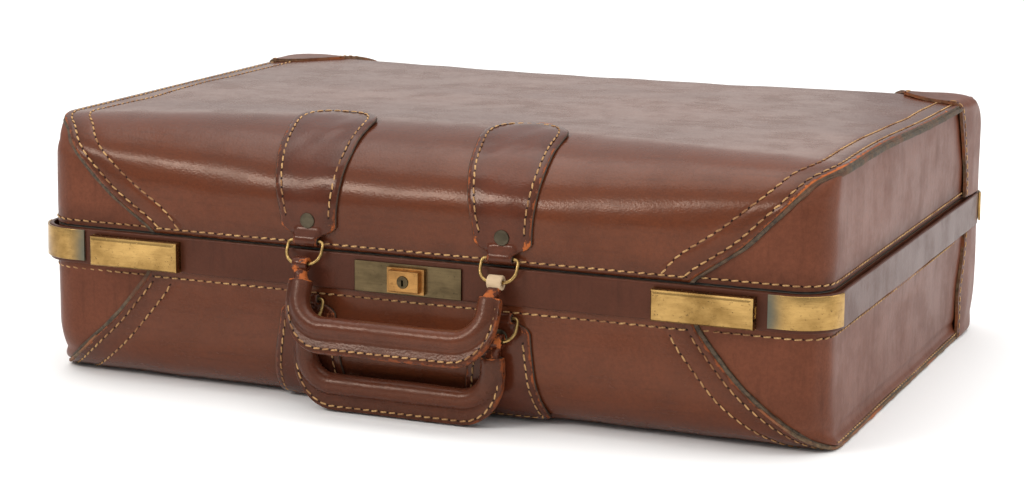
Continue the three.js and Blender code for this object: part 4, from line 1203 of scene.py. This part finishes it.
def rivet(side, body, z):
    """A flat-headed rivet with a rolled rim."""
    profile = ((0.0, 1.35), (2.2, 1.36), (3.9, 1.22), (4.5, 1.0), (4.75, 1.02), (5.2, 0.9),
               (5.5, 0.5), (5.5, -0.2))
    seat = -HALF_Y - TAB_LIFT - TAB_THICK - 0.05
    turn = np.linspace(0, 2 * math.pi, 41)[:-1]
    rings = []
    for r, h in profile[::-1]:
        r = max(r, 0.25)
        middle = side * TAB_X + FRONT_SWAY
        rings.append(np.stack([middle + r * np.cos(turn), np.full(40, seat - h), z + r * np.sin(turn)], -1))
    verts, faces, kinds = loft(np.array(rings))
    shell = LID if body == "lid" else BODY
    at = float(shell.at_z(z))
    stand_off = shell.bulge(side * TAB_X, at) + shell.skin(side * TAB_X + FRONT_SWAY, at)
    verts = verts - np.array([0, stand_off, 0])
    word = side_word(side)
    piece(f"{body}_rivet_{word}", verts, faces, body, (M["rivet"],), kinds,
          (f"{body}_tab_rivet_{word}",), {"tarnish": np.full(len(verts), 0.08)}, angle=55)


def ring_path():
    """A D-ring with a round bow, as a closed loop of x, z points about its bar."""
    top, bow = 3.0, 9.5
    points = []

    def arc(cx, cz, r, a, b, n):
        for t in np.radians(np.linspace(a, b, n)):
            points.append((cx + r * math.cos(t), cz + r * math.sin(t)))

    arc(RING_HALF - top, -top, top, 90, 0, 8)
    arc(RING_HALF - bow, -RING_DROP + bow, bow, 0, -90, 18)
    arc(-RING_HALF + bow, -RING_DROP + bow, bow, -90, -180, 18)
    arc(-RING_HALF + top, -top, top, 180, 90, 8)
    p = np.array(points)
    loop = np.concatenate([p, p[:1]])
    gaps = np.concatenate([[0], np.cumsum(np.linalg.norm(np.diff(loop, axis=0), axis=1))])
    t = np.linspace(0, gaps[-1], 73)[:-1]
    return np.stack([np.interp(t, gaps, loop[:, 0]), np.interp(t, gaps, loop[:, 1])], -1)


def rings(body, bar_z, prefix):
    flat = ring_path()
    ahead = unit(np.roll(flat, -1, 0) - np.roll(flat, 1, 0))
    for word, side in SIDES:
        path = np.stack([flat[:, 0], 0 * flat[:, 0], flat[:, 1]], -1)
        out = np.stack([ahead[:, 1], 0 * ahead[:, 0], -ahead[:, 0]], -1)
        up = np.tile([0.0, 1.0, 0.0], (len(path), 1))
        section = round_section(RING_WIRE, RING_WIRE, RING_WIRE * 0.98, 4)
        loops = lean_about(sweep(path, out, up, section), BAR_Y, bar_z, RING_LEAN)
        loops[..., 0] += side * TAB_X + FRONT_SWAY
        verts, faces, kinds = loft(loops, closed=True)
        piece(f"{prefix}_d_ring_{word}", verts, faces, body, (M["wire"],), kinds,
              (f"{prefix}_ring_{word}",), {"tarnish": np.full(len(verts), 0.1)})


# ---------------------------------------------------------------- handles

def grip_path():
    """The U of a grip: points, outward directions and how far along from arm to bar, in x, z."""
    low = -BAR_DROP + GRIP_BEND
    arm = np.linspace(SLEEVE_TOP, low, 10)[:-1]
    turn = np.linspace(math.pi, 1.5 * math.pi, 22)
    bar = np.linspace(-ARM_X + GRIP_BEND, 0, 18)[1:]
    x = np.concatenate([np.full(len(arm), -ARM_X), -ARM_X + GRIP_BEND + GRIP_BEND * np.cos(turn), bar])
    z = np.concatenate([arm, low + GRIP_BEND * np.sin(turn), np.full(len(bar), -BAR_DROP)])
    ox = np.concatenate([-np.ones(len(arm)), np.cos(turn), np.zeros(len(bar))])
    oz = np.concatenate([np.zeros(len(arm)), np.sin(turn), -np.ones(len(bar))])
    share = np.concatenate([np.zeros(len(arm)), np.linspace(0, 1, len(turn)), np.ones(len(bar))])
    mirrored = ((x, -1), (z, 1), (ox, -1), (oz, 1), (share, 1))
    return [np.concatenate([v, sign * v[::-1][1:]]) for v, sign in mirrored]


def grip_section(reach):
    """Outward and sideways points of a grip: a round roll with a sewn fin."""
    crease = 8.3
    fin = [(crease + (reach - crease) * f, 2.75 * g) for f, g in
           ((0.0, 0.98), (0.2, 0.93), (0.5, 1.0), (0.8, 0.98), (0.95, 0.8), (1.0, 0.4))]
    roll = [(GRIP_R * math.cos(math.radians(t)), GRIP_R * math.sin(math.radians(t)) * 0.98) for t in
            np.linspace(27, 333, 27)]
    return np.array(fin[::-1] + roll + [(o, -b) for o, b in fin])


def grip(prefix, body, bar_z, lean, seed, worn):
    x, z, ox, oz, share = grip_path()
    pivot_y = BAR_Y - RING_DROP * math.sin(math.radians(RING_LEAN))
    pivot_z = bar_z - RING_DROP * math.cos(math.radians(RING_LEAN))
    reach = FIN_ARM + (FIN_BOTTOM - FIN_ARM) * smooth(0.0, 1.0, share)
    loops, edges, wears = [], [], []
    n = len(x)
    for i in range(n):
        section = grip_section(reach[i])
        p = np.array([x[i], 0, z[i]])
        out = np.array([ox[i], 0, oz[i]])
        ends = min(i, n - 1 - i)
        pinch = 1.0 - 0.1 * math.exp(-ends / 1.2)
        loop = p + section[:, :1] * out * pinch + section[:, 1:] * np.array([0, -1, 0]) * pinch
        loops.append(loop)
        edges.append(np.minimum(np.maximum(reach[i] - section[:, 0], 0), 30))
        wears.append(np.full(len(section), 0.72 * math.exp(-((ends / 0.9) ** 2)) * worn))
    loops = np.array(loops)
    centre = np.stack([x, 0 * x, z], -1)[:, None]
    facing = unit(loops - centre)
    loops = loops + facing * (0.12 * wobble(loops, 34, seed) + 0.02 * wobble(loops, 9, seed + 1))[..., None]
    placed = lean_about(loops, pivot_y, pivot_z, lean) + np.array([FRONT_SWAY, 0, 0])
    verts, faces, kinds = loft(placed, kinds=0, cap_kind=1)
    thread = Thread(seed)
    for face in (-1, 1):
        o = reach - 3.3
        keep = (share > 0.0) | (np.abs(np.arange(n) - n / 2) < n / 2 - 3)
        p = np.stack([x + ox * o, face * np.full(n, 2.78), z + oz * o], -1)[keep]
        normal = np.tile([0.0, float(face), 0.0], (len(p), 1))
        a = -math.radians(lean)
        turned = normal.copy()
        turned[:, 1] = normal[:, 1] * math.cos(a)
        turned[:, 2] = normal[:, 1] * math.sin(a)
        row = lean_about(p, pivot_y, pivot_z, lean) + np.array([FRONT_SWAY, 0, 0])
        thread.row(row, turned, pitch=6.6, flip=face > 0)
    piece(f"{prefix}_grip", verts, faces, body, (M["grip"], M["cut_dark"]), kinds,
          (f"{prefix}_handle",), {"edge": np.array(edges), "wear": np.array(wears)})
    thread.make(f"{prefix}_grip_thread", body)
    grip_loops(prefix, body, pivot_y, pivot_z, lean, seed)


def grip_loops(prefix, body, pivot_y, pivot_z, lean, seed):
    """The hide loops round the ring bows and the necks that join them to the sleeve."""
    for word, side in SIDES:
        turn = np.linspace(0, 2 * math.pi, 33)[:-1]
        r = (LOOP_OUT + LOOP_HOLE) / 2
        radial = np.stack([0 * turn, np.cos(turn), np.sin(turn)], -1)
        across = np.tile([1.0, 0.0, 0.0], (len(turn), 1))
        section = round_section(LOOP_HALF, (LOOP_OUT - LOOP_HOLE) / 2, 0.9, 2)
        band_loops = sweep(radial * r, across, radial, section)
        band_loops[..., 0] += side * TAB_X
        band_loops = band_loops + 0.1 * wobble(band_loops, 9, seed + 3)[..., None]
        bare = word == "right" and prefix == "upper"
        eye = loft(band_loops, closed=True, kinds=2 if bare else 0)
        heights = np.linspace(-LOOP_OUT + 0.9, SLEEVE_TOP - 2.0, 9)
        share = np.linspace(0, 1, len(heights))
        neck = []
        for h, t in zip(heights, share):
            half_x = 4.9 - 0.9 * math.sin(math.pi * t) + 1.4 * t
            half_y = 3.2 + 0.2 * math.sin(3 * math.pi * t) + 2.6 * t
            ring = round_section(half_x, half_y, min(half_x, half_y) * 0.8, 3)
            centre = side * (TAB_X + (ARM_X - TAB_X) * t)
            neck.append(np.stack([centre + ring[:, 0], ring[:, 1], np.full(len(ring), h)], -1))
        neck = np.array(neck)
        neck = neck + 0.22 * wobble(neck, 7, seed + 5)[..., None] * np.array([1, 1, 0])
        verts, faces, kinds = join_lofts([eye, loft(neck)])
        verts = lean_about(verts, pivot_y, pivot_z, lean) + np.array([FRONT_SWAY, 0, 0])
        edge = np.full(len(verts), 8.0)
        wear = np.clip(0.38 + 0.25 * wobble(verts, 9, seed + 7), 0, 0.8)
        piece(f"{prefix}_grip_loop_{word}", verts, faces, body,
              (M["tab"], M["cut_dark"], M["core"]), kinds, (), {"edge": edge, "wear": wear})


# ---------------------------------------------------------------- linings

def lining_levels(shell, inset, top_z):
    """z, half-depth and half-length of each level, down the walls and in over the floor."""
    ry, rz = LID_ROLL if shell is LID else BODY_ROLL
    floor = shell.flat - shell.up * inset
    ry, rz = ry - inset, rz - inset
    levels = [(z, HALF_Y - inset, HALF_X - inset) for z in np.linspace(top_z, floor - shell.up * rz, 6)[:-1]]
    for t in np.linspace(0, math.pi / 2, 16):
        z = floor - shell.up * rz * (1 - math.sin(t))
        near = max(0.0, 1 - abs(z - floor) / 8)
        hx = HALF_X - inset - 8 * (1 - math.sqrt(max(0, 1 - near ** 2)))
        levels.append((z, HALF_Y - inset - ry * (1 - math.cos(t)), hx))
    _, last_y, last_x = levels[-1]
    for shrink in np.linspace(1, 0.02, 22)[1:]:
        levels.append((floor, last_y * shrink, last_x - (last_y - last_y * shrink)))
    return levels


def lining(shell, inset, top_z):
    """The two faces of a lining glued to the inside: walls with soft puckers and a flat floor."""
    levels = lining_levels(shell, inset, top_z)
    rows = []
    for _, hy, hx in levels:
        r = max(1.0, min(CORNER - inset, hy * 0.5))
        row = []
        for cx, cy, start in ((1, -1, -90), (1, 1, 0), (-1, 1, 90), (-1, -1, 180)):
            for t in np.radians(np.linspace(start, start + 90, 9)):
                row.append((cx * (hx - r) + r * math.cos(t), cy * (hy - r) + r * math.sin(t)))
        rows.append(row)
    rows = np.array(rows)
    ahead = np.roll(rows, -1, 1)
    counts = np.maximum(1, (np.linalg.norm(ahead - rows, axis=-1) / LINING_CELL).astype(int)).max(0)
    grid = []
    for (z, _, _), row, after in zip(levels, rows, ahead):
        line = []
        for p, q, count in zip(row, after, counts):
            line.extend((*(p + (q - p) * t), z) for t in np.arange(count) / count)
        grid.append(line)
    face = np.array(grid)
    toward = unit(np.array([0, 0, shell.hem]) - face)
    pucker = 0.4 * wobble(face, 60, 121) + 0.25 * wobble(face, 22, 122)
    return face + toward * np.clip(pucker + 0.5, 0, 1.4)[..., None], face - toward * 1.2


def linings():
    for shell, body, inset, top in ((BODY, "body", 5.6, 98.0), (LID, "lid", 6.2, 126.0)):
        inner, back = lining(shell, inset, top)
        verts, faces, kinds = loft(np.concatenate([inner[::-1], back]))
        piece(f"{body}_cloth", verts, faces, body, (M["lining"],), kinds, (f"{body}_lining",))


# ---------------------------------------------------------------- carried-over CAD nodes

CARRIED = (
    ("catch_base_", "brass"), ("catch_pin_", "brass"), ("catch_lever_", "brass"), ("lock_plate", "bronze"),
    ("lock_case", "steel"), ("lock_slider", "copper"), ("lock_bolt", "steel"), ("key_barrel", "barrel"),
    ("body_frame", "steel"), ("lid_frame", "steel"), ("lid_hasp", "bronze"), ("hinge_pin_", "brass"),
    ("body_hinge_leaf_", "brass"), ("lid_hinge_leaf_", "brass"),
)


def carried():
    for prefix, key in CARRIED:
        for name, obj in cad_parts.items():
            if not name.startswith(prefix):
                continue
            for slot in obj.material_slots:
                slot.material = M[key]
            soften = obj.modifiers.new("soften", "BEVEL")
            soften.width = SOFTEN * MM
            soften.segments = 2
            soften.limit_method = "ANGLE"
            soften.angle_limit = math.radians(40)
            soften.harden_normals = False


# ---------------------------------------------------------------- stage

def area(name, at, look, size, energy, colour=(1, 1, 1)):
    data = bpy.data.lights.new(name, "AREA")
    data.shape = "RECTANGLE"
    data.size, data.size_y = size
    data.energy = energy
    data.color = colour
    obj = bpy.data.objects.new(name, data)
    bpy.context.scene.collection.objects.link(obj)
    obj.location = at
    obj.rotation_euler = (Vector(look) - Vector(at)).to_track_quat("-Z", "Y").to_euler()


def stage():
    bpy.ops.mesh.primitive_plane_add(size=30, location=(0, 0, -0.0006))
    floor = bpy.context.object
    floor.name = "floor"
    floor.data.materials.append(M["floor"])
    world = bpy.data.worlds.new("studio")
    bpy.context.scene.world = world
    world.use_nodes = True
    tree = world.node_tree
    where = tree.nodes.new("ShaderNodeTexCoord")
    split = tree.nodes.new("ShaderNodeSeparateXYZ")
    tree.links.new(where.outputs["Generated"], split.inputs[0])
    fade = tree.nodes.new("ShaderNodeMapRange")
    fade.interpolation_type = "SMOOTHSTEP"
    fade.inputs["From Min"].default_value = 0.0
    fade.inputs["From Max"].default_value = 0.7
    fade.inputs["To Min"].default_value = 0.42
    fade.inputs["To Max"].default_value = 1.05
    tree.links.new(split.outputs["Z"], fade.inputs["Value"])
    background = tree.nodes["Background"]
    tree.links.new(fade.outputs["Result"], background.inputs["Strength"])
    background.inputs["Color"].default_value = (1, 1, 1, 1)
    area("overhead", (0.0, 0.2, 2.4), (0, 0, 0), (2.6, 1.8), 30)
    area("front_left", (-1.1, -1.9, 1.45), (0, 0, 0.1), (0.9, 0.5), 20, (1.0, 0.96, 0.92))
    area("back_glare", (-1.4, 2.6, 0.85), (-0.1, 0, 0.19), (2.0, 0.7), 2.4, (1.0, 0.9, 0.8))
    area("right_side", (2.4, 0.6, 1.0), (0.2, 0, 0.1), (1.2, 1.4), 18)
    bpy.context.scene.view_settings.view_transform = "Standard"


def camera():
    yaw, pitch, roll = CAMERA_YAW, CAMERA_PITCH, CAMERA_ROLL
    back = Vector((math.sin(yaw) * math.cos(pitch), -math.cos(yaw) * math.cos(pitch), math.sin(pitch)))
    right = (-back).cross(Vector((0, 0, 1))).normalized()
    up = right.cross(-back)
    tilted_right = right * math.cos(roll) + up * math.sin(roll)
    tilted_up = up * math.cos(roll) - right * math.sin(roll)
    data = bpy.data.cameras.new("camera")
    data.sensor_width = 36
    data.lens = CAMERA_LENS
    data.clip_end = 100
    obj = bpy.data.objects.new("camera", data)
    bpy.context.scene.collection.objects.link(obj)
    turn = Matrix((tilted_right, tilted_up, back)).transposed()
    obj.matrix_world = Matrix.Translation(CAMERA_AT) @ turn.to_4x4()
    bpy.context.scene.camera = obj


LID_TAB = ((0, 17), (LID.at_z(123.5), 16), (LID.at_z(129), 21), (LID.at_z(138), 21.5), (LID.at_z(158), 25),
           (LID.at_z(174), 28), (LID.at_z(184), 29.5), (LID.at_z(189), 31), (200, 31))
BODY_TAB = ((BODY.at_z(73.5), 16), (BODY.at_z(68), 21), (BODY.at_z(58), 22), (BODY.at_z(36), 25),
            (BODY.at_z(14), 29), (BODY.at_z(3), 31), (160, 32))


def tabs():
    lid_end = float(np.interp(-143, LID.mid[0], LID.s))
    body_end = float(np.interp(-207, BODY.mid[0], BODY.s))
    for _, side in SIDES:
        tab(LID, side, "lid", LID_BAR_Z, LID_TAB, lid_end, lid_end - 30, 1.0)
        tab_thread(LID, side, "lid", LID_TAB, float(LID.at_z(136)), lid_end, lid_end - 30)
        tab(BODY, side, "body", BODY_BAR_Z, BODY_TAB, body_end, body_end - 6, 0.7)
        tab_thread(BODY, side, "body", BODY_TAB, float(BODY.at_z(61)), body_end, body_end - 6)
        rivet(side, "lid", LID_RIVET_Z)
        rivet(side, "body", BODY_RIVET_Z)
    rings("upper_rings", LID_BAR_Z, "upper")
    rings("lower_rings", BODY_BAR_Z, "lower")


camera()
stage()
shells()
band()
hem_rows()
seam_rows()
guards()
for _, side_sign in SIDES:
    rear_patch(LID, side_sign, "lid")
    rear_patch(BODY, side_sign, "body")
tabs()
grip("upper", "upper_handle", LID_BAR_Z, UPPER_LEAN, 131, 1.0)
grip("lower", "lower_handle", BODY_BAR_Z, LOWER_LEAN, 141, 1.0)
linings()
carried()
